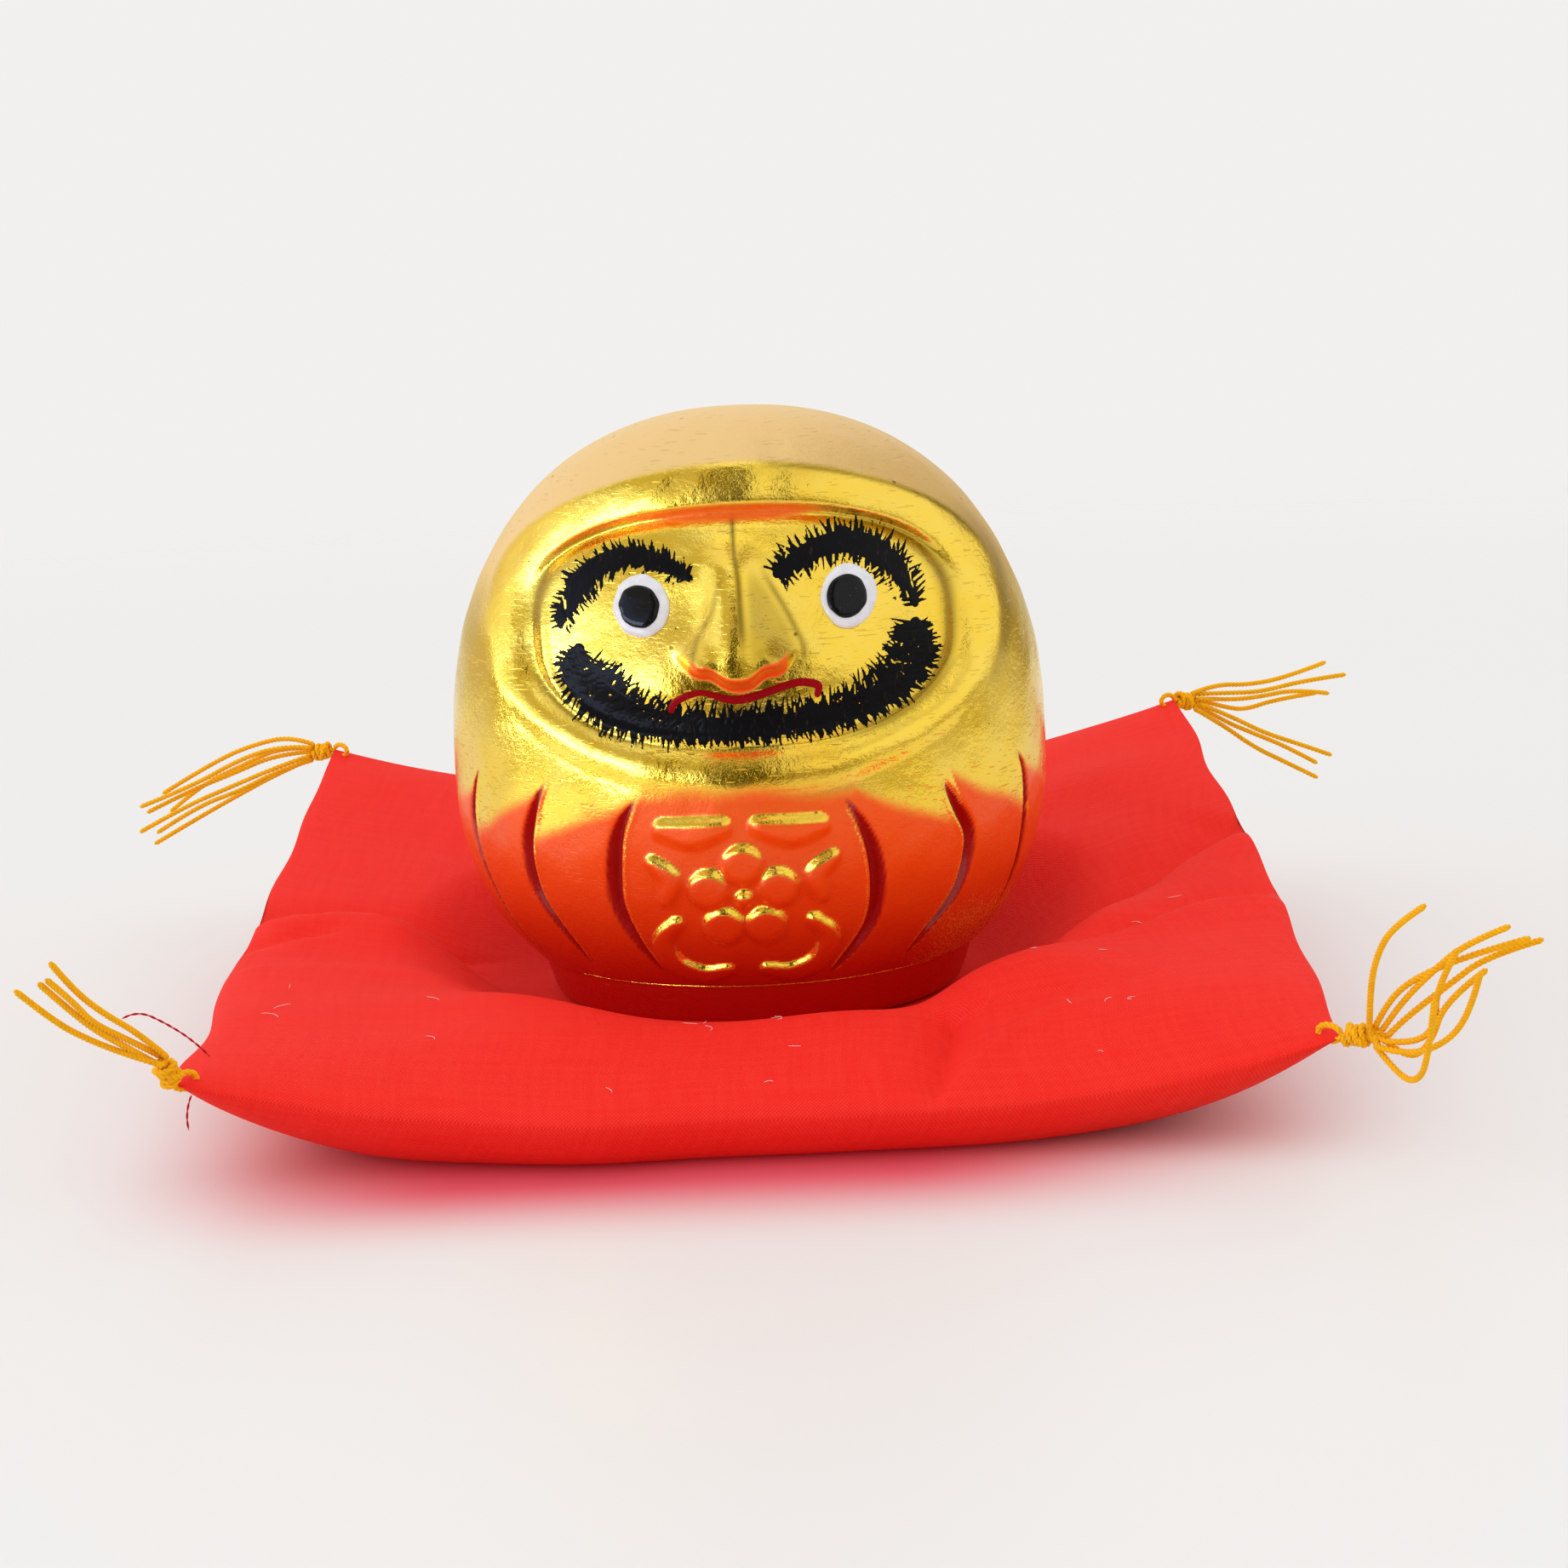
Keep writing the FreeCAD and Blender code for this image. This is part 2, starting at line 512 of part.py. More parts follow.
def between(lower, upper):
    """Close the space between two faces over the same plan with straight walls."""
    walls = []
    for edge in lower.Edges:
        middle = edge_middle(edge)
        partner = min(upper.Edges, key=lambda other: edge_middle(other).distanceToPoint(middle))
        walls.append(Part.makeRuledSurface(edge, partner))
    shell = Part.makeShell([lower, upper] + walls)
    shell.sewShape()
    solid = Part.makeSolid(shell)
    if solid.Volume < 0:
        solid.reverse()
    return solid


def cushion():
    table = Part.makeBox(400, 400, 50, Vector(-200, -200, -50))
    cover_bottom = sheet_face(bottom_point).extrude(Vector(0, 0, CLOTH_T)).cut(table)
    cover_top = sheet_face(top_point).extrude(Vector(0, 0, -CLOTH_T))
    low = sheet_face(bottom_point, WADDING_REACH, CLOTH_T + WADDING_GAP)
    high = sheet_face(top_point, WADDING_REACH, CLOTH_T + WADDING_GAP)
    return {
        "cushion_cover_top": cover_top,
        "cushion_cover_bottom": cover_bottom,
        "cushion_wadding": between(low, high),
    }


# ---- tassels ---------------------------------------------------------------------------------------
def yarn(points, diameter, name):
    """A round cord along straight runs joined by the largest even arcs, with its ends cut square."""
    corners = [Vector(*p) for p in points]
    edges = []
    radii = []
    last = corners[0]
    for before, corner, after in zip(corners, corners[1:], corners[2:]):
        run_in = corner - before
        run_out = after - corner
        turn = run_in.getAngle(run_out)
        shorter = min(run_in.Length, run_out.Length)
        back = 0.45 * shorter
        radii.append(back / math.tan(turn / 2))
        start = corner - run_in * (back / run_in.Length)
        end = corner + run_out * (back / run_out.Length)
        inwards = (start + end) * 0.5 - corner
        depth = radii[-1] / math.cos(turn / 2) - radii[-1]
        middle = corner + inwards * (depth / inwards.Length)
        edges.append(Part.LineSegment(last, start).toShape())
        edges.append(Part.Arc(start, middle, end).toShape())
        last = end
    edges.append(Part.LineSegment(last, corners[-1]).toShape())
    spine = Part.Wire(edges)
    ring = Part.Wire([Part.Circle(corners[0], corners[1] - corners[0], diameter / 2).toShape()])
    tube = spine.makePipeShell([ring], True, False)
    expected = math.pi * diameter ** 2 / 4 * spine.Length
    print("%-24s length %5.1f  smallest radius %5.1f  volume ratio %.3f"
          % (name, spine.Length, min(radii), tube.Volume / expected))
    return tube


def aligned(shape, origin, direction):
    """Stand a shape that was made along +Z on origin, pointing along direction."""
    turn = FreeCAD.Rotation(Vector(0, 0, 1), direction)
    shape.Placement = FreeCAD.Placement(origin, turn)
    return shape


def knot(tip, face):
    """Wraps of yarn around the neck of the tassel, as one barrel."""
    tip, face = Vector(*tip), Vector(*face)
    direction = face - tip
    length = direction.Length - KNOT_GAP
    pitch = length / KNOT_WRAPS
    neck = KNOT_R - KNOT_GROOVE
    first = Vector(0.5 * KNOT_R, 0, 0)
    outline = [Part.LineSegment(Vector(0, 0, 0), first).toShape()]
    for k in range(KNOT_WRAPS):
        start = first if k == 0 else Vector(neck, 0, k * pitch)
        end = Vector(neck, 0, (k + 1) * pitch)
        middle = Vector(KNOT_R, 0, (k + 0.5) * pitch)
        outline.append(Part.Arc(start, middle, end).toShape())
    outline.append(Part.LineSegment(Vector(neck, 0, length), Vector(0, 0, length)).toShape())
    outline.append(Part.LineSegment(Vector(0, 0, length), Vector(0, 0, 0)).toShape())
    barrel = Part.Face(Part.Wire(outline)).revolve(Vector(0, 0, 0), Vector(0, 0, 1), 360)
    return aligned(barrel, tip + direction * (KNOT_GAP / direction.Length), direction)


def corner_stitch(tip):
    """The loop of yarn that holds a tassel, passing down through the corner of the cushion."""
    tip = Vector(*tip)
    inwards = Vector(-tip.x, -tip.y, 0).normalize()
    middle = tip + inwards * STITCH_INSET
    ring = Part.makeTorus(STITCH_R, YARN_D / 2)
    across = Vector(0, 0, 1).cross(inwards)
    return aligned(ring, middle, across)


def tassels():
    nodes = {}
    for corner, (tip, face, routes) in TASSELS.items():
        strands = [yarn(route, YARN_D, "%s %d" % (corner, k + 1)) for k, route in enumerate(routes)]
        nodes["tassel_strands_" + corner] = Part.makeCompound(strands)
        nodes["tassel_knot_" + corner] = knot(tip, face)
        nodes["corner_stitch_" + corner] = corner_stitch(tip)
    tails = [yarn(route, THREAD_D, "thread tail") for route in THREAD_TAILS]
    nodes["thread_tails"] = Part.makeCompound(tails)
    return nodes


def eyes():
    nodes = {}
    for side, name in ((-1, "left"), (1, "right")):
        nodes["eye_white_" + name] = dome(side * EYE_X, EYE_Z, EYE_W, EYE_H, EYE_T)
        nodes["pupil_" + name] = dome(side * EYE_X, EYE_Z, PUPIL_D, PUPIL_D, PUPIL_T, EYE_T)
    return nodes


def main():
    nodes = {"doll_body": doll_body(), "belly_relief": belly_relief()}
    nodes.update(eyes())
    nodes.update(face_paint())
    nodes.update(cushion())
    nodes.update(tassels())
    os.makedirs("parts", exist_ok=True)
    for name, shape in nodes.items():
        facts = (name, shape.isValid(), len(shape.Solids), shape.Volume)
        print("%-28s valid %s  solids %d  volume %9.1f" % facts)
        shape.exportStep("parts/%s.step" % name)


main()
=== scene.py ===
"""Looks of the daruma doll on its cushion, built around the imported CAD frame.

Shapes are worked out in millimetres, as on a drawing, and handed to Blender in metres.  The doll faces -Y.
"""

import math

import bpy
import numpy as np
from mathutils import Matrix, Vector
from mathutils.bvhtree import BVHTree


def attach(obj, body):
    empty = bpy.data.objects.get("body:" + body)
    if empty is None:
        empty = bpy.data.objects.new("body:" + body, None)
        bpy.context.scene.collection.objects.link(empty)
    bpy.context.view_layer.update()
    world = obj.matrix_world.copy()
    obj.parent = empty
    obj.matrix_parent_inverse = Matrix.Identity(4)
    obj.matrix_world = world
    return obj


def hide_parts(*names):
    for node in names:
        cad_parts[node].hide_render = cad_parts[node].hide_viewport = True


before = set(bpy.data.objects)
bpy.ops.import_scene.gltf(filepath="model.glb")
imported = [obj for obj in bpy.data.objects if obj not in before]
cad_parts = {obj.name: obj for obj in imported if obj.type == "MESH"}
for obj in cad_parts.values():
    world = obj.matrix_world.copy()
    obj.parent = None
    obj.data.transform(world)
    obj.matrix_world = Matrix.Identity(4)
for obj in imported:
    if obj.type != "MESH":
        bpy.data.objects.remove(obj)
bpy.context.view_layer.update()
MM = 0.001

# ---- the doll's plain body, as in the CAD source ----------------------------------------------------
BELLY_R = 50.4
BELLY_Z = 48.9
CROWN_H = 57.2
CROWN_POWER = 2.25
BASE_H = 45.0
BASE_POWER = 2.44
RING_Z = 15.1
SEAT_Z = 7.5
FOOT_TOP_R = 37.2
FOOT_BOTTOM_R = 34.8
FOOT_ROUND = 1.5
FOOT_HOLLOW_R = 28.0
FOOT_HOLLOW_H = 1.2
CROWN_Z = BELLY_Z + CROWN_H

# ---- face opening -----------------------------------------------------------------------------------
FACE_Z = 72.9
FACE_HALF_W = 33.0
FACE_HALF_H = 17.0
FACE_POWER = 2.6
CHIN_CREASE_Z = 48.4
HOOD_CREST = 8.3               # from the opening's edge to the hood's crest, where the dull crown begins

# Height of the surface against the plain body, outwards from the face opening's edge: (distance, height).
HOOD_TOP = [(-6, -4.6), (-1.2, -5.2), (0.2, -6.1), (0.9, -6.0), (2.5, -3.4), (3.2, -2.9), (5, -1.6),
            (7, -0.2), (8.3, 0.75), (9.1, 0.95), (10.5, 0.6), (13, 0.2), (18, 0)]
HOOD_SIDE = [(-6, -4.6), (-2.2, -4.9), (-1.5, -4.4), (-0.7, -4.1), (0, -4.7), (0.8, -5.3), (2.0, -4.5),
             (4.5, -1.9), (6.5, -0.4), (8.3, 0.5), (9.6, 0.5), (12, 0.15), (16, 0)]
HOOD_CHIN = [(-6, -3.6), (-2.2, -3.4), (-1.5, -2.9), (-0.7, -2.7), (0, -3.1), (0.7, -3.1), (1.8, -1.9),
             (3.4, -0.7), (5.0, -0.2), (6.4, -0.1), (7.6, -0.3), (8.3, -0.42), (9.4, -0.25), (13, 0)]
# The nose by height above the face's middle: its ridge, its half width, and the x of the lines that frame it.
NOSE_RIDGE = [(-10, 5.2), (-6, 6.0), (-3, 6.4), (0, 6.0), (4, 4.6), (9, 3.2), (13, 2.4), (16, 1.7), (18, 0.6)]
BRIDGE_LINE = [(-8, 0.0), (-3, 0.0), (8, -0.3), (12, -0.9), (18, -1.0)]
NOSE_RIGHT_LINE = [(-8, 8.6), (-5, 9.4), (-2.3, 9.6), (3.2, 7.0), (8, 4.2), (12, 2.4), (18, 1.0)]
NOSE_LEFT_LINE = [(-8, -8.2), (-5, -8.1), (-0.5, -7.2), (3.2, -4.6), (8, -3.4), (18, -2.0)]
NOSE_HALF_W = [(-9, 6.4), (-4, 6.4), (0, 5.2), (4, 4.3), (9, 3.8), (14, 4.0), (18, 5.0)]
PROFILE_STEP = 0.05
PROFILE_SOFTNESS = 0.35

# ---- pleats: (azimuth in degrees, height) down the middle of each cut, from the left to the right --------
PLEATS = [
    [(-61.5, 50.5), (-65.0, 46.0), (-67.0, 40.0), (-66.0, 32.0), (-63.0, 24.0), (-59.0, 17.5)],
    [(-40.5, 50.0), (-44.5, 44.0), (-46.5, 38.5), (-46.5, 31.0), (-42.5, 22.5), (-40.5, 18.0)],
    [(-20.6, 48.2), (-24.2, 43.5), (-26.0, 38.5), (-27.0, 31.0), (-25.0, 24.0), (-21.0, 17.6)],
    [(17.0, 47.4), (20.6, 42.5), (23.0, 37.5), (24.2, 31.5), (23.6, 25.5), (19.5, 19.5), (16.5, 16.8)],
    [(37.5, 48.0), (41.0, 43.5), (44.8, 38.0), (44.0, 29.5), (38.5, 22.0), (35.5, 18.0)],
    [(60.0, 50.0), (63.5, 45.0), (65.0, 38.0), (65.0, 31.0), (64.0, 24.5), (60.0, 18.0)],
]
PLEAT_HALF_W = 1.6
PLEAT_DEPTH = 2.0
PLEAT_RIM = 0.35

# ---- belly motif: a plum blossom among cloud bands, (x, height, half width) along each stroke -------
MOTIF_X = -1.5
BLOSSOM_Z = 31.6
BLOSSOM_R = 5.7
PETAL_R = 3.35
HEART_R = 1.5
CLOUDS = [
    [(-4.6, 18.8, 1.3), (-8.6, 17.8, 1.9), (-12.9, 19.9, 1.9), (-14.6, 24.4, 1.7), (-12.4, 27.4, 1.3)],
    [(-13.6, 43.2, 1.7), (-9.2, 42.6, 2.4), (-4.4, 43.6, 1.6)],
    [(-15.6, 37.8, 1.2), (-13.0, 35.2, 1.9), (-13.6, 31.6, 1.3)],
]
MOTIF_HEIGHT = 1.35
MOTIF_ROUND = 1.5

# ---- eyes ---------------------------------------------------------------------------------------------
EYES = {"left": (-15.7, 77.3), "right": (16.9, 77.6)}
EYE_HALF_W = 4.5
EYE_HALF_H = 4.8
EYE_RISE = 1.15
PUPIL_R = 3.25
PUPIL_RISE = 0.75

# ---- cushion, as in the CAD source ------------------------------------------------------------------
CUSHION_HALF_W = 84.0
CUSHION_FRONT_Y = -89.6
CUSHION_BACK_Y = 85.4
SIDE_BULGE = 2.5
CORNER_Z = {"front_left": 17.0, "front_right": 17.0, "back_left": 37.0, "back_right": 40.0}
LEFT_SEAM = (20.5, 10.0, 6.5)
RIGHT_SEAM = (25.5, 11.75, 2.75)
FRONT_SEAM = (8.0, 9.0)
BACK_SEAM = (25.0, 1.5, 13.5)
SEAT_R = 37.5
SEAT_SLOPE = 26.0
SEAT_LEVEL = 7.2
LOFT_DOWN = 14.0
# Height of the stuffing above the seam, from the front edge at -1 to the back edge at 1.
LOFT_UP = [(-1.0, 8.5), (-0.5, 8.5), (-0.12, 3.5), (0.3, 2.5), (0.7, 4.5), (1.0, 4.5)]
CLOTH_STEPS = 210
FOLD_STRENGTH = 1.6
EDGE_WOBBLE = 0.9
# Folds pressed into the top by the doll's weight: the fold's line in plan, its height, and its width in front
# of the line and behind it.  A second, negative entry along the same line makes the valley beside a ridge.
FOLDS = [
    ([(-88, -6), (-72, -2), (-58, -4), (-46, -9), (-36, -16)], 2.6, 9.0, 2.2),
    ([(-88, 1), (-72, 4), (-58, 3), (-46, -1), (-38, -4)], -2.6, 3.5, 9.0),
    ([(-88, -18), (-78, -11), (-68, -6)], -0.9, 1.2, 2.5),
    ([(-86, -33), (-70, -28), (-52, -27), (-36, -33)], 0.9, 7.0, 2.0),
    ([(-60, -1), (-50, 6), (-41, 15)], -0.9, 1.2, 1.2),
    ([(88, 10), (76, 1), (66, -11), (52, -28), (40, -38)], 2.2, 7.0, 2.4),
    ([(88, 18), (78, 9), (67, -2), (54, -18), (42, -28)], -2.8, 4.0, 9.0),
    ([(88, -28), (74, -29), (60, -38), (46, -44), (36, -46)], 1.3, 8.0, 2.2),
    ([(88, -21), (74, -22), (61, -31), (48, -38)], -1.2, 2.5, 4.0),
    ([(30, -60), (28, -70), (26, -84), (25.5, -92)], -2.6, 3.0, 3.0),
    ([(26, -90), (33, -80), (44, -70), (54, -66)], 1.2, 2.5, 2.5),
]
# Soft humps and hollows: middle of each in plan, its height and its two widths.
HUMPS = [
    ((-6, -47), 1.6, 15, 7), ((22, -50), -1.6, 8, 8), ((42, -52), 2.2, 13, 9), ((16, -74), 1.4, 9, 10),
    ((-40, -66), 1.0, 18, 9), ((62, -66), 1.2, 16, 10), ((60, -8), -1.4, 14, 8),
]

# ---- tassels: (corner's tip, middle of the knot's outer face, route of each strand) -----------------
YARN_D = 1.0
THREAD_D = 0.35
TASSELS = {
    "front_left": ((-84.0, -89.6, 17.0), (-84.6, -92.4, 21.2), [
        [(-84, -93, 22), (-86.5, -98.5, 27), (-89.5, -105, 31.5), (-92, -111, 36.5), (-93, -118, 42)],
        [(-85, -92.5, 22), (-87.5, -99, 26), (-91, -106, 30.5), (-92, -111.5, 35), (-94, -117, 39.5)],
        [(-85.5, -93, 21), (-88, -99, 25), (-91, -105.5, 29.5), (-93.5, -111, 34.5), (-95, -117, 39)],
        [(-84.5, -94, 21), (-88.5, -98.5, 24), (-92, -105, 28), (-95, -110.5, 32), (-98.2, -117.2, 38.2)],
    ]),
    "front_right": ((84.0, -89.6, 17.0), (88.0, -92.0, 17.4), [
        [(87.5, -92.5, 18.8), (86.5, -98, 25.5), (86, -105.5, 32.5), (87, -112, 38), (90, -118, 42)],
        [(88.5, -92, 18.8), (89.5, -96, 23.5), (92.5, -99.5, 27.5), (99, -105.5, 32), (105.5, -112, 35.5)],
        [(89.5, -92.5, 18.5), (91, -96.5, 23), (94.5, -102, 29), (98, -107, 34), (102.5, -113, 37.5)],
        [(90, -93, 17.5), (92, -95, 20.5), (97, -100.5, 26.5), (101.5, -104.5, 31.5), (107.5, -111, 35)],
        [(89.5, -94, 17), (93, -98, 17.5), (95, -102.5, 21.5), (93.5, -107.5, 27.5), (94.8, -116, 35.4)],
        [(90, -92.5, 16.5), (92.5, -96, 14.5), (94.5, -101, 18.5), (95, -107, 26), (99, -114.5, 32)],
        [(88.5, -94, 16.2), (92, -99, 16), (96.5, -104, 19.5), (98, -110, 25.5), (97.3, -118, 32.4)],
        [(88.5, -92.5, 15.8), (90.5, -98, 13), (92, -103.5, 13.5), (92.5, -108, 18), (91.4, -117, 28.6)],
    ]),
    "back_left": ((-84.0, 85.4, 37.0), (-88.6, 87.0, 36.2), [
        [(-88.5, 87, 38), (-93, 88.5, 39.5), (-100.5, 91, 38), (-109.5, 93.5, 34.5), (-121.5, 97, 27.5)],
        [(-89, 86, 37.5), (-95, 86.5, 38), (-103.5, 87.5, 35.5), (-114, 89.5, 30), (-125, 91, 26)],
        [(-89.5, 88.5, 37), (-96, 91, 37), (-104.5, 94.5, 33), (-113.5, 98, 29), (-121, 101, 23)],
        [(-89.5, 87, 36.5), (-96.5, 88, 36), (-105, 89, 32.5), (-114.5, 91, 29), (-124, 92.5, 24.5)],
        [(-89.5, 85.5, 35.8), (-96, 84, 34), (-105, 84.5, 30.5), (-114.5, 83.5, 27), (-124, 84.5, 22)],
        [(-89, 88, 35), (-96, 90.5, 32), (-104, 92, 28), (-113.5, 94, 23), (-123.5, 95, 17.5)],
        [(-89, 86.5, 34.8), (-95.5, 87.5, 33), (-104, 87.5, 29), (-113, 89.5, 26), (-122, 91, 20.5)],
    ]),
    "back_right": ((84.0, 85.4, 40.0), (88.2, 87.4, 39.0), [
        [(88, 87, 40.8), (93, 90, 42), (100.5, 94, 41), (109, 99, 41.5), (118, 104.5, 43.5)],
        [(88.5, 88, 40.5), (94, 88, 40.5), (102, 90, 40), (111, 93, 41.5), (120.5, 96, 42)],
        [(89, 86.5, 39.8), (96, 91, 38.5), (103, 94, 38.5), (110.5, 98.5, 39), (118, 101, 37.5)],
        [(89.5, 88, 39.2), (95, 92, 37), (100, 96.5, 35.5), (106.5, 99, 37), (116, 104.4, 37.2)],
        [(89.5, 87, 38.6), (96, 89, 35.5), (103, 91, 31.5), (110.5, 93.5, 28.5), (117.5, 96, 25.5)],
        [(89, 89, 38.2), (95, 93, 34), (102, 96, 30.5), (109, 99.5, 27), (115.5, 101.5, 23)],
        [(88.5, 86.5, 37.6), (94, 90, 34), (101, 92, 28.5), (108, 96, 24.5), (115, 98.5, 20.5)],
    ]),
}
THREAD_TAILS = [
    [(-79.5, -84.5, 19.5), (-81.5, -85, 22), (-85, -86, 25), (-89, -87, 27.5), (-91, -88, 26.5)],
    [(-82, -87.5, 14.6), (-83, -88.5, 12.2), (-82.3, -89.6, 10)],
]


# ======================================================================================================
# Camera
# ======================================================================================================
CAMERA_PLACE = (0.0055, -0.507, 0.1306)
CAMERA_PITCH = math.radians(10.0)
CAMERA_ROLL = math.radians(2.4)
CAMERA_LENS = 68.8


def add_camera():
    """The view from in front and a little above, slightly rolled."""
    camera = bpy.data.cameras.new("camera")
    camera.lens = CAMERA_LENS
    camera.sensor_width = 36
    camera.clip_start = 0.01
    holder = bpy.data.objects.new("camera", camera)
    bpy.context.scene.collection.objects.link(holder)
    ahead = Vector((0, math.cos(CAMERA_PITCH), -math.sin(CAMERA_PITCH)))
    up = Vector((0, math.sin(CAMERA_PITCH), math.cos(CAMERA_PITCH)))
    side = Vector((1, 0, 0))
    rolled_side = side * math.cos(CAMERA_ROLL) - up * math.sin(CAMERA_ROLL)
    rolled_up = side * math.sin(CAMERA_ROLL) + up * math.cos(CAMERA_ROLL)
    turn = Matrix((rolled_side, rolled_up, -ahead)).transposed()
    holder.matrix_world = Matrix.Translation(CAMERA_PLACE) @ turn.to_4x4()
    bpy.context.scene.camera = holder


# ======================================================================================================
# Helpers
# ======================================================================================================
def smooth_step(t):
    """0 below 0, 1 above 1 and smooth between."""
    t = np.clip(t, 0.0, 1.0)
    return t * t * (3 - 2 * t)


def profile(table, place, softness=PROFILE_SOFTNESS):
    """Read a table of (place, height) pairs, with its corners rounded over softness."""
    low, high = table[0][0] - 1, table[-1][0] + 1
    ruler = np.arange(low, high, PROFILE_STEP)
    heights = np.interp(ruler, [p[0] for p in table], [p[1] for p in table])
    reach = int(3 * softness / PROFILE_STEP)
    weights = np.exp(-0.5 * (np.arange(-reach, reach + 1) * PROFILE_STEP / softness) ** 2)
    padded = np.pad(heights, reach, mode="edge")
    return np.interp(place, ruler, np.convolve(padded, weights / weights.sum(), mode="valid"))


def blurred(field, amount):
    """A field on a grid, softened over that many cells."""
    reach = max(1, int(3 * amount))
    weights = np.exp(-0.5 * (np.arange(-reach, reach + 1) / amount) ** 2)
    weights /= weights.sum()
    for axis in (0, 1):
        pad = [(0, 0), (0, 0)]
        pad[axis] = (reach, reach)
        wide = np.pad(field, pad, mode="edge")
        size = field.shape[axis]
        field = sum(w * np.take(wide, range(k, k + size), axis=axis) for k, w in enumerate(weights))
    return field


def soft_max(a, b, softness):
    """The larger of two fields, with a soft change from one to the other."""
    return 0.5 * (a + b + np.sqrt((a - b) ** 2 + softness ** 2))


def waves(x, y, size, seed, octaves=3):
    """Smooth seeded unevenness, from sums of plane waves, about -1 to 1."""
    rng = np.random.default_rng(seed)
    total = np.zeros_like(x, dtype=float)
    for octave in range(octaves):
        for _ in range(7):
            angle = rng.uniform(0, 2 * math.pi)
            length = size / 2 ** octave * rng.uniform(0.7, 1.4)
            shift = rng.uniform(0, 2 * math.pi)
            across = x * math.cos(angle) + y * math.sin(angle)
            total += np.sin(2 * math.pi * across / length + shift) / (2.6 * 2 ** octave)
    return total


def grid_faces(rows, columns, closed=False):
    """Corner numbers of the quads of a grid; closed joins its last column to its first."""
    row = np.arange(rows - 1)[:, None]
    column = np.arange(columns if closed else columns - 1)[None, :]
    after = (column + 1) % columns
    here, above = row * columns, (row + 1) * columns
    corners = [here + column, here + after, above + after, above + column]
    return np.stack(np.broadcast_arrays(*corners), axis=-1).reshape(-1, 4)


def mesh_piece(name, points, faces, material, values=None, uv=None):
    """A smooth-shaded mesh object from points in millimetres, with per-vertex values for its material."""
    mesh = bpy.data.meshes.new(name)
    mesh.from_pydata((np.asarray(points) * MM).tolist(), [], [list(face) for face in faces])
    mesh.polygons.foreach_set("use_smooth", [True] * len(mesh.polygons))
    for label, field in (values or {}).items():
        layer = mesh.attributes.new(label, "FLOAT", "POINT")
        layer.data.foreach_set("value", np.asarray(field, dtype=np.float32).ravel())
    if uv is not None:
        corners = np.empty(len(mesh.loops), dtype=np.int32)
        mesh.loops.foreach_get("vertex_index", corners)
        layer = mesh.uv_layers.new(name="cloth")
        layer.data.foreach_set("uv", np.asarray(uv, dtype=np.float32)[corners].ravel())
    mesh.validate()
    mesh.materials.append(material)
    piece = bpy.data.objects.new(name, mesh)
    bpy.context.scene.collection.objects.link(piece)
    return piece


# ======================================================================================================
# Materials
# ======================================================================================================
def add_node(tree, kind, inputs=None, **settings):
    """A shader node with these settings and these inputs, as values or links."""
    made = tree.nodes.new("ShaderNode" + kind)
    for name, value in settings.items():
        setattr(made, name, value)
    for key, value in (inputs or {}).items():
        if isinstance(value, bpy.types.NodeSocket):
            tree.links.new(value, made.inputs[key])
        else:
            made.inputs[key].default_value = value
    return made


def new_material(name, **sockets):
    """A material with one Principled shader, whose sockets take these values."""
    material = bpy.data.materials.new(name)
    material.use_nodes = True
    shader = material.node_tree.nodes["Principled BSDF"]
    for label, value in sockets.items():
        shader.inputs[label.replace("_", " ")].default_value = value
    return material, material.node_tree, shader


def attribute(tree, name):
    """A per-vertex value of the mesh."""
    return add_node(tree, "Attribute", attribute_name=name).outputs["Fac"]


def math_node(tree, operation, a, b=0.0, clamp=False):
    """Result of one operation on numbers."""
    return add_node(tree, "Math", {0: a, 1: b}, operation=operation, use_clamp=clamp).outputs[0]


def times(tree, a, b, clamp=False):
    """a * b"""
    return math_node(tree, "MULTIPLY", a, b, clamp)


def plus(tree, a, b):
    """a + b"""
    return math_node(tree, "ADD", a, b)


def minus(tree, a, b):
    """a - b"""
    return math_node(tree, "SUBTRACT", a, b)


def ramp(tree, value, low, high):
    """Value mapped smoothly from low..high to 0..1."""
    inputs = {"Value": value, "From Min": low, "From Max": high}
    return add_node(tree, "MapRange", inputs, interpolation_type="SMOOTHSTEP").outputs["Result"]


def mix_colour(tree, factor, a, b):
    """Colour a where the factor is 0 and colour b where it is 1."""
    return add_node(tree, "Mix", {0: factor, 6: a, 7: b}, data_type="RGBA").outputs[2]


def mix_value(tree, factor, a, b):
    """Number a where the factor is 0 and number b where it is 1."""
    return add_node(tree, "Mix", {0: factor, 2: a, 3: b}, data_type="FLOAT").outputs[0]


def red_green_blue(colour):
    """A colour with the alpha that a shader socket wants."""
    return (*colour, 1)


def stretched(tree, vector, scale, turn=(0.0, 0.0, 0.0)):
    """Coordinates scaled and turned."""
    return add_node(tree, "Mapping", {"Vector": vector, "Scale": scale, "Rotation": turn}).outputs[0]


def noise(tree, vector, scale, detail=2.0, roughness=0.5):
    """Smooth random pattern from 0 to 1."""
    inputs = {"Vector": vector, "Scale": scale, "Detail": detail, "Roughness": roughness}
    return add_node(tree, "TexNoise", inputs).outputs["Fac"]


def bump(tree, height, distance, strength, below=None):
    """Normals of a fine relief, on top of another relief when below is given."""
    inputs = {"Height": height, "Distance": distance, "Strength": strength}
    if below is not None:
        inputs["Normal"] = below
    return add_node(tree, "Bump", inputs).outputs[0]


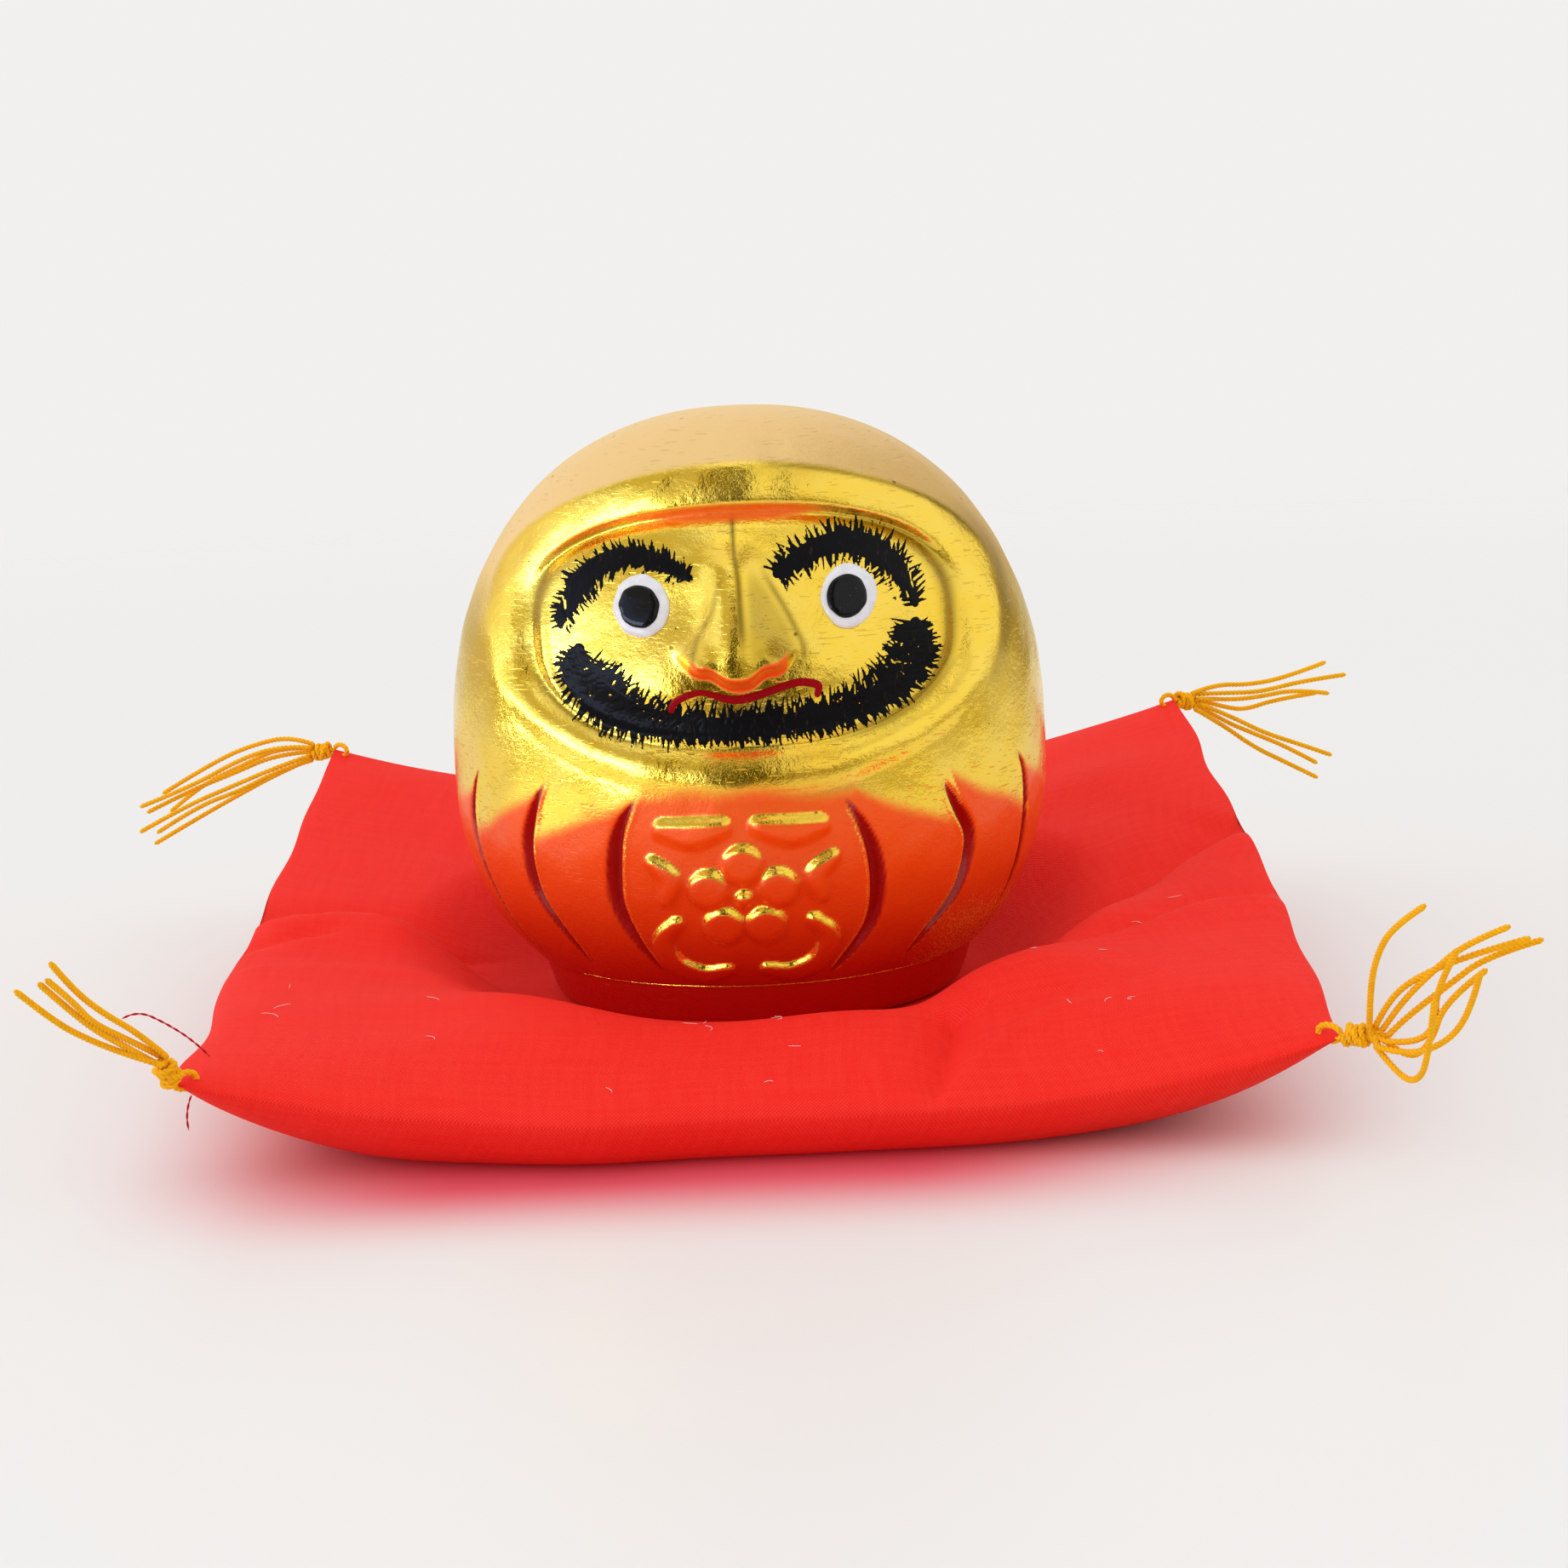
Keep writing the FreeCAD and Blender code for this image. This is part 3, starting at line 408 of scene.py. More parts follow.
def scratches(tree, place, turns):
    """Thin lines in several directions: 1 on a scratch, 0 beside it."""
    total = None
    for index, turn in enumerate(turns):
        along = stretched(tree, place, (260.0, 260.0, 2600.0), (turn, 0.4 * index, turn * 0.5))
        line = ramp(tree, noise(tree, along, 1.0, 1.0), 0.70, 0.76)
        total = line if total is None else math_node(tree, "MAXIMUM", total, line)
    return total


def gold_lacquer():
    """Gold leaf, polished around the face and dull on the crown, under red lacquer sprayed from below."""
    material, tree, shader = new_material("gold_and_red_lacquer", Coat_Roughness=0.12, Specular_IOR_Level=0.25)
    place = add_node(tree, "TexCoord").outputs["Object"]
    height = add_node(tree, "SeparateXYZ", {0: place}).outputs["Z"]
    patchy = noise(tree, place, 90.0, 4.0, 0.6)
    fine = noise(tree, place, 900.0, 3.0, 0.65)
    grain = noise(tree, place, 2600.0, 2.0, 0.6)
    dull = attribute(tree, "dull")
    inside_pleat = attribute(tree, "pleat")
    rubbed = attribute(tree, "rubbed")
    speckle = times(tree, minus(tree, fine, 0.5), 0.22)
    red = ramp(tree, plus(tree, attribute(tree, "lacquer"), speckle), 0.05, 0.95)
    worn = ramp(tree, plus(tree, rubbed, minus(tree, grain, 0.5)), 0.36, 0.62)
    red = times(tree, red, minus(tree, 1.0, worn), clamp=True)

    leaf = mix_colour(tree, ramp(tree, patchy, 0.35, 0.7), (1.0, 0.68, 0.065, 1), (1.0, 0.72, 0.11, 1))
    deep = times(tree, ramp(tree, noise(tree, place, 32.0, 3.0, 0.6), 0.46, 0.70), 0.55)
    leaf = mix_colour(tree, deep, leaf, (0.90, 0.50, 0.03, 1))
    leaf = mix_colour(tree, dull, leaf, (0.96, 0.66, 0.27, 1))
    dots = add_node(tree, "TexVoronoi", {"Vector": place, "Scale": 210.0}, feature="F1").outputs["Distance"]
    dots = times(tree, ramp(tree, dots, 0.085, 0.05), ramp(tree, patchy, 0.52, 0.60))
    leaf = mix_colour(tree, times(tree, dots, 0.75), leaf, (0.20, 0.09, 0.02, 1))
    # Painted shade and dark reflection: darker gold in the face's crease, under the hood's crest and around the
    # nose.
    leaf = mix_colour(tree, attribute(tree, "painted_shade"), leaf, (0.20, 0.115, 0.006, 1))
    marks = scratches(tree, place, (0.3, 1.3, 2.2, 2.9))
    leaf = mix_colour(tree, times(tree, marks, 0.25), leaf, (0.55, 0.32, 0.06, 1))

    depth = ramp(tree, height, 0.046, 0.010)
    lacquer = mix_colour(tree, depth, (0.95, 0.115, 0.006, 1), (0.50, 0.004, 0.001, 1))
    lacquer = mix_colour(tree, inside_pleat, lacquer, (0.36, 0.002, 0.001, 1))
    tree.links.new(mix_colour(tree, red, leaf, lacquer), shader.inputs["Base Color"])

    metallic = mix_value(tree, red, 1.0, 0.18)
    tree.links.new(metallic, shader.inputs["Metallic"])
    polished = mix_value(tree, ramp(tree, patchy, 0.3, 0.75), 0.13, 0.24)
    rough = mix_value(tree, dull, polished, 0.46)
    rough = mix_value(tree, times(tree, marks, 0.6), rough, 0.5)
    rough = mix_value(tree, red, rough, 0.33)
    tree.links.new(rough, shader.inputs["Roughness"])
    coat = times(tree, math_node(tree, "MAXIMUM", times(tree, red, 0.12), inside_pleat), 0.8)
    tree.links.new(coat, shader.inputs["Coat Weight"])

    crinkle = plus(tree, fine, times(tree, grain, 0.35))
    crinkle = minus(tree, crinkle, times(tree, marks, 0.35))
    crinkle = minus(tree, crinkle, times(tree, dots, 1.2))
    lumpy = bump(tree, noise(tree, place, 110.0, 3.0, 0.5), 0.0012, 0.28)
    tree.links.new(bump(tree, crinkle, 0.00026, 0.38, lumpy), shader.inputs["Normal"])
    return material


def enamel(name, colour, roughness=0.12):
    """Glossy brushed-on enamel with faint waves in its surface."""
    material, tree, shader = new_material(name, Coat_Weight=0.08, Coat_Roughness=0.06, Specular_IOR_Level=0.15)
    place = add_node(tree, "TexCoord").outputs["Object"]
    uneven = noise(tree, place, 700.0, 2.0)
    dusty = ramp(tree, noise(tree, place, 2400.0, 2.0), 0.66, 0.78)
    darker = red_green_blue([0.9 * c for c in colour])
    shade = mix_colour(tree, ramp(tree, uneven, 0.3, 0.7), darker, red_green_blue(colour))
    shade = mix_colour(tree, times(tree, dusty, 0.12), shade, (0.5, 0.45, 0.4, 1))
    tree.links.new(shade, shader.inputs["Base Color"])
    tree.links.new(mix_value(tree, uneven, roughness * 0.7, roughness * 1.5), shader.inputs["Roughness"])
    tree.links.new(bump(tree, uneven, 0.0002, 0.25), shader.inputs["Normal"])
    return material


def brushwork(name, colour, worn_colour):
    """Brushed lacquer, streaked along the hairs of the brush and a little thin in places."""
    material, tree, shader = new_material(name, Specular_IOR_Level=0.05)
    place = add_node(tree, "TexCoord").outputs["Object"]
    streaks = noise(tree, stretched(tree, place, (1800.0, 400.0, 500.0), (0, 0.5, 0)), 1.0, 3.0, 0.6)
    worn = ramp(tree, streaks, 0.60, 0.82)
    shade = mix_colour(tree, worn, red_green_blue(colour), red_green_blue(worn_colour))
    tree.links.new(shade, shader.inputs["Base Color"])
    tree.links.new(mix_value(tree, streaks, 0.18, 0.42), shader.inputs["Roughness"])
    tree.links.new(bump(tree, streaks, 0.00015, 0.5), shader.inputs["Normal"])
    return material


WEAVE_PITCH = 0.00058          # one repeat of the weave, two threads


def red_cloth():
    """Plain-woven red cloth: over and under threads, slubs, and a soft sheen."""
    material, tree, shader = new_material("red_cloth", Sheen_Weight=0.05, Sheen_Roughness=0.4, Roughness=0.75,
                                          Specular_IOR_Level=0.2)
    shader.inputs["Sheen Tint"].default_value = (1.0, 0.2, 0.12, 1)
    flat = add_node(tree, "UVMap", uv_map="cloth").outputs["UV"]
    uneven = noise(tree, stretched(tree, flat, (60.0, 900.0, 60.0)), 1.0, 2.0)
    slub = noise(tree, stretched(tree, flat, (900.0, 60.0, 60.0)), 1.0, 2.0)
    parts = add_node(tree, "SeparateXYZ", {0: flat}).outputs
    turns = 2 * math.pi / WEAVE_PITCH
    warp = math_node(tree, "SINE", times(tree, parts["X"], turns))
    weft = math_node(tree, "SINE", times(tree, parts["Y"], turns))
    over = times(tree, warp, weft)
    threads = plus(tree, times(tree, over, 0.5), 0.5)
    tint = plus(tree, times(tree, uneven, 0.5), times(tree, slub, 0.5))
    base = mix_colour(tree, ramp(tree, tint, 0.35, 0.65), (0.98, 0.016, 0.006, 1), (1.0, 0.024, 0.010, 1))
    base = mix_colour(tree, times(tree, ramp(tree, threads, 0.55, 0.95), 0.70), base, (0.70, 0.004, 0.002, 1))
    tree.links.new(base, shader.inputs["Base Color"])
    relief = plus(tree, threads, times(tree, tint, 1.2))
    tree.links.new(bump(tree, relief, 0.00012, 0.8), shader.inputs["Normal"])
    return material


def yarn_material(name, light, dark):
    """Spun fibre: soft, a little uneven, with fine strands along it, and painted shade in the grooves between
    its plies.
    """
    material, tree, shader = new_material(name, Sheen_Weight=0.05, Roughness=0.85, Specular_IOR_Level=0.15)
    place = add_node(tree, "TexCoord").outputs["Object"]
    fibres = noise(tree, place, 6000.0, 3.0, 0.7)
    cloudy = noise(tree, place, 500.0, 2.0)
    groove = attribute(tree, "groove")
    darker = red_green_blue([0.9 * c for c in light])
    shade = mix_colour(tree, ramp(tree, cloudy, 0.3, 0.7), red_green_blue(light), darker)
    # Painted shade: the dark colour fills the grooves between the plies, where shade falls.
    shade = mix_colour(tree, times(tree, groove, 0.75), shade, red_green_blue(dark))
    tree.links.new(shade, shader.inputs["Base Color"])
    tree.links.new(bump(tree, fibres, 0.0001, 0.5), shader.inputs["Normal"])
    return material


# ======================================================================================================
# Doll
# ======================================================================================================
def body_radius(z):
    """Radius of the plain body at a height."""
    rise = z - BELLY_Z
    reach = np.where(rise > 0, CROWN_H, BASE_H)
    power = np.where(rise > 0, CROWN_POWER, BASE_POWER)
    part = np.clip(np.abs(rise) / reach, 0, 1)
    return BELLY_R * (1 - part ** power) ** (1 / power)


def edge_distance(x, z):
    """Distance from the face opening's edge, negative inside it."""
    dz = z - FACE_Z
    reach = np.maximum(np.hypot(x, dz), 1e-6)
    size = (np.abs(x) / FACE_HALF_W) ** FACE_POWER + (np.abs(dz) / FACE_HALF_H) ** FACE_POWER
    return reach * (1 - np.maximum(size, 1e-9) ** (-1 / FACE_POWER))


def nose_base(x, z):
    """Height above the face's middle at which the nose's underside begins."""
    across = np.abs(x + 1.0 + 0.045 * (z - FACE_Z + 4))
    return -8.3 + 3.6 * (across / 8.3) ** 2 + 1.0 * np.exp(-((across - 4.2) / 1.7) ** 2)


def nose(x, z):
    """A narrow bridge that flares into two wings, cut off below by the nostrils' slope."""
    up = z - FACE_Z
    middle = -1.0 - 0.045 * (up + 4)
    across = x - middle
    ridge = profile(NOSE_RIDGE, up, 0.8)
    half_w = profile(NOSE_HALF_W, up, 0.8)
    bridge = ridge * np.exp(-np.abs(across / half_w) ** 2.6)
    wings = 3.2 * np.exp(-((np.abs(across) - 6.2) / 2.3) ** 2 - ((up + 4.4) / 3.0) ** 2)
    notch = -0.7 * np.exp(-((x + 1.3) / 0.5) ** 2) * smooth_step((up - 10.5) / 3) * smooth_step((17.5 - up) / 2)
    return (bridge + wings) * smooth_step((up - nose_base(x, z)) / 2.4 + 0.2) + notch


def painted_shade(x, z, edge):
    """How much painted shade darkens the gold, standing in for shadow and dark reflections: in the face's
    crease, along the hood's crest and around the nose.
    """
    up = z - FACE_Z
    crease = 0.75 * np.exp(-((edge - 0.2) / 1.3) ** 2) * smooth_step((np.abs(x + 1) - 10) / 14)
    crest = 0.65 * np.exp(-((edge - HOOD_CREST) / 0.4) ** 2)
    crest = crest * smooth_step((x - 2) / 6) * smooth_step((up - 6) / 8)
    side = 0.45 * smooth_step((edge - HOOD_CREST) / 0.7) * smooth_step((12.0 - edge) / 2.5)
    side = side * smooth_step((x - 24) / 10) * smooth_step((18 - np.abs(up - 2)) / 12)
    bridge_w = 0.42 + 0.45 * smooth_step((12 - up) / 14)
    bridge = 0.85 * np.exp(-((x - profile(BRIDGE_LINE, up, 0.8)) / bridge_w) ** 2)
    bridge = bridge * smooth_step((up + 6) / 8) * smooth_step((18.5 - up) / 1.5)
    right = profile(NOSE_RIGHT_LINE, up, 0.8)
    outline = 0.70 * np.exp(-((x - right) / 0.55) ** 2)
    flank = 0.42 * smooth_step((right - x) / 2) * smooth_step((x - 0.4) / 1.5)
    left = 0.45 * np.exp(-((x - profile(NOSE_LEFT_LINE, up, 0.8)) / 0.5) ** 2)
    wings = (outline + flank + left) * smooth_step((up + 5.5) / 2) * smooth_step((11 - up) / 5)
    return np.clip(crease + crest + side + bridge + wings, 0, 1)


def cheeks(x, z):
    """The cheeks' gentle swelling and the hollows where the eyes sit."""
    up = z - FACE_Z
    swell = 1.2 * np.exp(-((np.abs(x) - 15) / 10) ** 2 - ((up + 7) / 6) ** 2)
    socket = -0.9 * np.exp(-((np.abs(x) - 11) / 7) ** 2 - ((up - 5) / 5) ** 2)
    lip = 0.9 * np.exp(-((x + 0.5) / 9) ** 2 - ((up + 15) / 2.4) ** 2)
    return swell + socket + lip


def face_relief(x, z):
    """How far the head stands out towards the viewer against the plain body."""
    edge = edge_distance(x, z)
    top = smooth_step((z - (FACE_Z + 5)) / 8)
    chin = smooth_step((FACE_Z - 6 - z) / 9)
    side = 1 - top - chin
    rim = profile(HOOD_TOP, edge) * top + profile(HOOD_SIDE, edge) * side + profile(HOOD_CHIN, edge) * chin
    inside = smooth_step((-edge - 1.5) / 6)
    return rim + inside * (nose(x, z) + cheeks(x, z) + 1.0 * smooth_step((-edge - 2) / 10))


def chain_distance(x, z, points):
    """Distance from the outline of a rounded stroke along (x, height, half width) points, negative inside."""
    best = np.full(x.shape, 1e9)
    for (xa, za, ra), (xb, zb, rb) in zip(points, points[1:]):
        length = math.hypot(xb - xa, zb - za)
        along = np.clip(((x - xa) * (xb - xa) + (z - za) * (zb - za)) / length ** 2, 0, 1)
        away = np.hypot(x - xa - along * (xb - xa), z - za - along * (zb - za))
        best = np.minimum(best, away - (ra + along * (rb - ra)))
    return best


def rounded_path(points, steps=6):
    """More points on a smooth line through the given ones."""
    points = np.asarray(points, dtype=float)
    ends = np.vstack([2 * points[0] - points[1], points, 2 * points[-1] - points[-2]])
    line = []
    for k in range(len(points) - 1):
        a, b, c, d = ends[k:k + 4]
        for t in np.arange(steps) / steps:
            line.append(0.5 * (2 * b + (c - a) * t + (2 * a - 5 * b + 4 * c - d) * t ** 2
                               + (3 * b - a - 3 * c + d) * t ** 3))
    line.append(points[-1])
    return [tuple(p) for p in line]


def motif_relief(x, z):
    """The raised blossom and clouds on the belly."""
    inside = []
    for k in range(5):
        angle = math.radians(90 + 72 * k)
        cx, cz = MOTIF_X + BLOSSOM_R * math.cos(angle), BLOSSOM_Z + BLOSSOM_R * math.sin(angle)
        inside.append(PETAL_R - np.hypot(x - cx, z - cz))
    inside.append(HEART_R - np.hypot(x - MOTIF_X, z - BLOSSOM_Z))
    for cloud in CLOUDS:
        for side in (-1, 1):
            stroke = [(MOTIF_X + side * (cx - MOTIF_X), cz, half) for cx, cz, half in rounded_path(cloud)]
            inside.append(-chain_distance(x, z, stroke))
    depth = np.clip(np.max(inside, axis=0) / MOTIF_ROUND, 0, 1)
    return MOTIF_HEIGHT * np.sqrt(1 - (1 - depth) ** 2)


def nearest_on_path(x, y, path):
    """For each place: its distance from a path, how far along the path that is from 0 to 1, its offset in x,
    and a number that is positive behind the path."""
    away = np.full(x.shape, 1e9)
    place, offset, behind = np.zeros(x.shape), np.zeros(x.shape), np.zeros(x.shape)
    for k, ((xa, ya), (xb, yb)) in enumerate(zip(path, path[1:])):
        length = math.hypot(xb - xa, yb - ya)
        along = np.clip(((x - xa) * (xb - xa) + (y - ya) * (yb - ya)) / length ** 2, 0, 1)
        ex, ey = x - xa - along * (xb - xa), y - ya - along * (yb - ya)
        distance = np.hypot(ex, ey)
        near = distance < away
        turn = ((xb - xa) * ey - (yb - ya) * ex) * (1 if xb > xa else -1)
        away = np.where(near, distance, away)
        place = np.where(near, (k + along) / (len(path) - 1), place)
        offset = np.where(near, ex, offset)
        behind = np.where(near, turn, behind)
    return away, place, offset, behind


def pleat_fields(azimuth, z):
    """Depth of the pleats, how far a place is inside one, and where its rim shows rubbed gold."""
    depth, inside, rim = np.zeros_like(z), np.zeros_like(z), np.zeros_like(z)
    for route in PLEATS:
        path = [(math.radians(degrees) * BELLY_R, height) for degrees, height in rounded_path(route)]
        away, place, offset, _ = nearest_on_path(azimuth * BELLY_R, z, path)
        signed = away * np.sign(offset) * -np.sign(path[0][0])
        half = PLEAT_HALF_W * np.sin(math.pi * np.clip(place, 0, 1)) ** 0.75 + 0.02
        across = signed / half
        wall = smooth_step((1 - across) / 0.55) * smooth_step((across + 1.1) / 1.5)
        depth -= PLEAT_DEPTH * (half / PLEAT_HALF_W) * wall
        inside = np.maximum(inside, smooth_step((0.95 - np.abs(across)) / 0.25) * smooth_step(half / 0.5))
        edge = np.exp(-((signed - half - 0.45) / 0.4) ** 2) * smooth_step(half / 0.6)
        depth += PLEAT_RIM * edge
        rim = np.maximum(rim, edge)
    return depth, inside, rim


def spray_line(azimuth, z):
    """Height that the red reaches: up to the chin between the middle pleats, then falling from each pleat."""
    degrees = np.degrees(azimuth)
    tops = sorted(abs(route[0][0]) for route in PLEATS)
    inner, middle, outer = (0.5 * (tops[k] + tops[k + 1]) for k in (0, 2, 4))
    side = np.abs(degrees) - 6.0 * np.clip((49.5 - z) / 10, 0, 1)
    fall = np.where(side < middle, (side - inner) / (middle - inner),
                    np.where(side < outer, (side - middle) / (outer - middle), (side - outer) / 26.0))
    lobes = 48.6 - 9.0 * np.clip(fall, 0, 1) ** 0.8
    return np.where(side < inner, CHIN_CREASE_Z + 0.4, lobes) + 0.8 * waves(degrees, degrees * 0, 40.0, 5)


def outline_rows():
    """(radius, height) of the doll's outline from the middle of its underside up to the crown."""
    hollow_z = SEAT_Z + FOOT_HOLLOW_H
    under = [(r, hollow_z) for r in np.linspace(0.5, FOOT_HOLLOW_R - 1.0, 12)]
    under += [(FOOT_HOLLOW_R - 0.6, hollow_z - 0.1), (FOOT_HOLLOW_R - 0.1, SEAT_Z + 0.3)]
    under.append((FOOT_HOLLOW_R + 0.4, SEAT_Z))
    under += [(r, SEAT_Z) for r in np.linspace(FOOT_HOLLOW_R + 1, FOOT_BOTTOM_R - FOOT_ROUND, 6)]
    lean = (FOOT_TOP_R - FOOT_BOTTOM_R) / (RING_Z - SEAT_Z)
    for angle in np.radians([22, 45, 68, 90]):
        rise = FOOT_ROUND * (1 - math.cos(angle))
        under.append((FOOT_BOTTOM_R - FOOT_ROUND * (1 - math.sin(angle)) + lean * rise, SEAT_Z + rise))
    side = np.linspace(SEAT_Z + FOOT_ROUND + 0.3, RING_Z - 0.35, 14)
    under += [(FOOT_BOTTOM_R + lean * (z - SEAT_Z), z) for z in side]
    ledge = FOOT_TOP_R + 0.1
    under += [(ledge, RING_Z - 0.12), (ledge - 0.25, RING_Z + 0.1), (ledge - 0.7, RING_Z + 0.12)]
    start = RING_Z + 0.25
    foot_end = len(under)
    heights = [start]
    while heights[-1] < CROWN_Z - 0.02:
        z = heights[-1]
        slope = (body_radius(z + 0.01) - body_radius(z - 0.01)) / 0.02 if z < CROWN_Z - 0.05 else -50.0
        step = 0.4 if z < 97 else 0.8
        heights.append(min(z + max(step / math.hypot(1, float(slope)), 0.002), CROWN_Z - 0.004))
        if len(heights) > 420:
            break
    return under + [(float(body_radius(z)), z) for z in heights], foot_end


def doll_columns():
    """Azimuths of the doll's columns: close together in front, wider apart behind."""
    front = np.radians(np.arange(-80, 80, 0.46))
    back = np.radians(np.arange(80, 280, 1.6))
    return np.concatenate([front, back])


def skin_paint(az, x, z, r, tilt, body, front, pleat, rim):
    """Where the skin's material shows red lacquer, dull gold, a pleat's inside, rubbed gold and painted shade.
    """
    edge = edge_distance(x, z)
    taper = 1.9 * smooth_step((np.abs(x + 1) - 5) / 14)
    groove = smooth_step((2.9 - edge) / 1.0) * smooth_step((edge + 0.9 - taper) / 1.1)
    groove = groove * smooth_step((z - FACE_Z - 10) / 4)
    groove = groove * (1 - 0.8 * smooth_step((x - 8) / 14)) * smooth_step((31 - np.abs(x)) / 6)
    over_base = z - FACE_Z - nose_base(x, z)
    nostrils = smooth_step((2.7 - over_base) / 1.0) * smooth_step((over_base + 1.0) / 0.5)
    nostrils = nostrils * smooth_step((8.3 - np.abs(x + 0.8)) / 1.2) * (z < FACE_Z)
    on_face = np.maximum(0.78 * groove, nostrils) * front
    covered = smooth_step((spray_line(az, z) - z) / 6.0 + 0.5)
    lacquer = covered * (1 - 0.95 * smooth_step((tilt - 0.22) / 0.3))
    lacquer = np.maximum(lacquer, on_face)
    lacquer = np.maximum(lacquer, np.where(z < RING_Z + 0.2, 1.0, 0.0))
    lacquer = np.maximum(lacquer, pleat * smooth_step((z - 10) / 3))
    dull = smooth_step((edge - HOOD_CREST) / 0.9) * smooth_step((z - 70) / 14)
    dull = np.maximum(dull, smooth_step((-0.05 - np.cos(az)) / 0.4) * smooth_step((z - 40) / 10))
    ring = np.exp(-((z - RING_Z) / 0.22) ** 2) * (np.abs(r - FOOT_TOP_R) < 0.6)
    corner = smooth_step((np.degrees(az) - 20) / 30) * smooth_step((34 - z) / 12) * body
    rubbed = np.maximum(rim * 0.55, np.maximum(ring * 0.8, corner * 0.42)) * (1 - pleat)
    # Painted shade on the gold, where shadow and dark reflections fall in creases and around the nose.
    dark = painted_shade(x, z, edge) * front
    return {"lacquer": lacquer, "dull": dull, "pleat": pleat, "rubbed": rubbed, "painted_shade": dark}


def doll_skin(material):
    """The doll's whole outside as one skin; gives the tree that finds places on it."""
    rows, foot_end = outline_rows()
    azimuth = (doll_columns()[None, :] + math.pi) % (2 * math.pi) - math.pi
    z = np.broadcast_to(np.array([z for r, z in rows])[:, None], (len(rows), azimuth.shape[1])).astype(float)
    r = np.broadcast_to(np.array([r for r, z in rows])[:, None], z.shape).astype(float)
    az = np.broadcast_to(azimuth, z.shape)
    x, y = r * np.sin(az), -r * np.cos(az)
    body = np.arange(len(rows))[:, None] >= foot_end
    front = smooth_step(np.cos(az) / 0.35) * body
    forward = front * face_relief(x, z)
    cut, pleat, rim = pleat_fields(az, z)
    outward = body * (cut + front * motif_relief(x, z) + 0.12 * waves(az * BELLY_R, z, 26.0, 3))
    outward = blurred(outward, 0.7)
    points = np.stack([x + outward * np.sin(az), y - forward - outward * np.cos(az), z], axis=-1)

    along = np.roll(points, -1, axis=1) - np.roll(points, 1, axis=1)
    normal = np.cross(along, np.gradient(points, axis=0))
    normal /= np.maximum(np.linalg.norm(normal, axis=-1, keepdims=True), 1e-9)
    widening, rising = np.gradient(r, axis=0), np.gradient(z, axis=0)
    plain_up = widening / np.maximum(np.hypot(widening, rising), 1e-9)
    fields = skin_paint(az, x, z, r, normal[..., 2] + plain_up, body, front, pleat, rim)

    flat = points.reshape(-1, 3)
    columns = az.shape[1]
    faces = grid_faces(len(rows), columns, closed=True).tolist()
    bottom, top = len(flat), len(flat) + 1
    last = (len(rows) - 1) * columns
    flat = np.vstack([flat, [[0, 0, rows[0][1]]], [[0, 0, CROWN_Z]]])
    for k in range(columns):
        following = (k + 1) % columns
        faces.append([bottom, following, k])
        faces.append([top, last + k, last + following])
    values = {}
    for name, field in fields.items():
        values[name] = np.append(field.ravel(), [float(name == "lacquer"), float(name == "dull")])
    piece = mesh_piece("doll_shell", flat, faces, material, values)
    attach(piece, "doll")
    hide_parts("doll_body", "belly_relief")
    return BVHTree.FromPolygons([tuple(p) for p in flat], faces)


DROP_UNEVENNESS = 0.03         # of an enamel drop's outline, as part of its radius


class Face:
    """The doll's front surface, read by looking along +Y."""

    def __init__(self, tree):
        self.tree = tree

    def depth(self, x, z):
        """Y of the surface at a place seen from the front."""
        hit = self.tree.ray_cast(Vector((x, -90.0, z)), Vector((0, 1, 0)))[0]
        return hit.y if hit else 0.0


def drop_of_enamel(name, face, x, z, half_w, half_h, rise, material, node, under=None, bed=0.5):
    """A domed drop on the face, or on another drop when under gives that drop's height at a place."""
    rings, spokes = 22, 72
    angles = np.linspace(0, 2 * math.pi, spokes, endpoint=False)
    edge = 1 + DROP_UNEVENNESS * waves(np.cos(angles) * 10, np.sin(angles) * 10, 14.0, len(name), 2)
    points = [(x, face.depth(x, z) - rise - (under(x, z) if under else 0.0), z)]
    for k in range(1, rings + 1):
        part = math.sin(0.5 * math.pi * k / rings)
        height = rise * (1 - part ** 3.2) ** 0.5
        for angle, reach in zip(angles, edge):
            px = x + half_w * part * reach * math.cos(angle)
            pz = z + half_h * part * reach * math.sin(angle)
            lift = height + (under(px, pz) if under else 0.0)
            points.append((px, face.depth(px, pz) - lift, pz))
    for _ in range(spokes):
        px, py, pz = points[-spokes]
        points.append((px, py + bed, pz))
    faces = [[0, 1 + (k + 1) % spokes, 1 + k] for k in range(spokes)]
    for ring in range(rings):
        for k in range(spokes):
            a, b = 1 + ring * spokes, 1 + (ring + 1) * spokes
            faces.append([a + k, a + (k + 1) % spokes, b + (k + 1) % spokes, b + k])
    faces.append([1 + rings * spokes + k for k in range(spokes)][::-1])
    piece = mesh_piece(name, points, faces, material)
    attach(piece, "doll")
    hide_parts(node)
    return piece


# ======================================================================================================
# Brushed face
# ======================================================================================================
BRUSH_STEP = 0.15
BRUSH_THICKNESS = 0.13


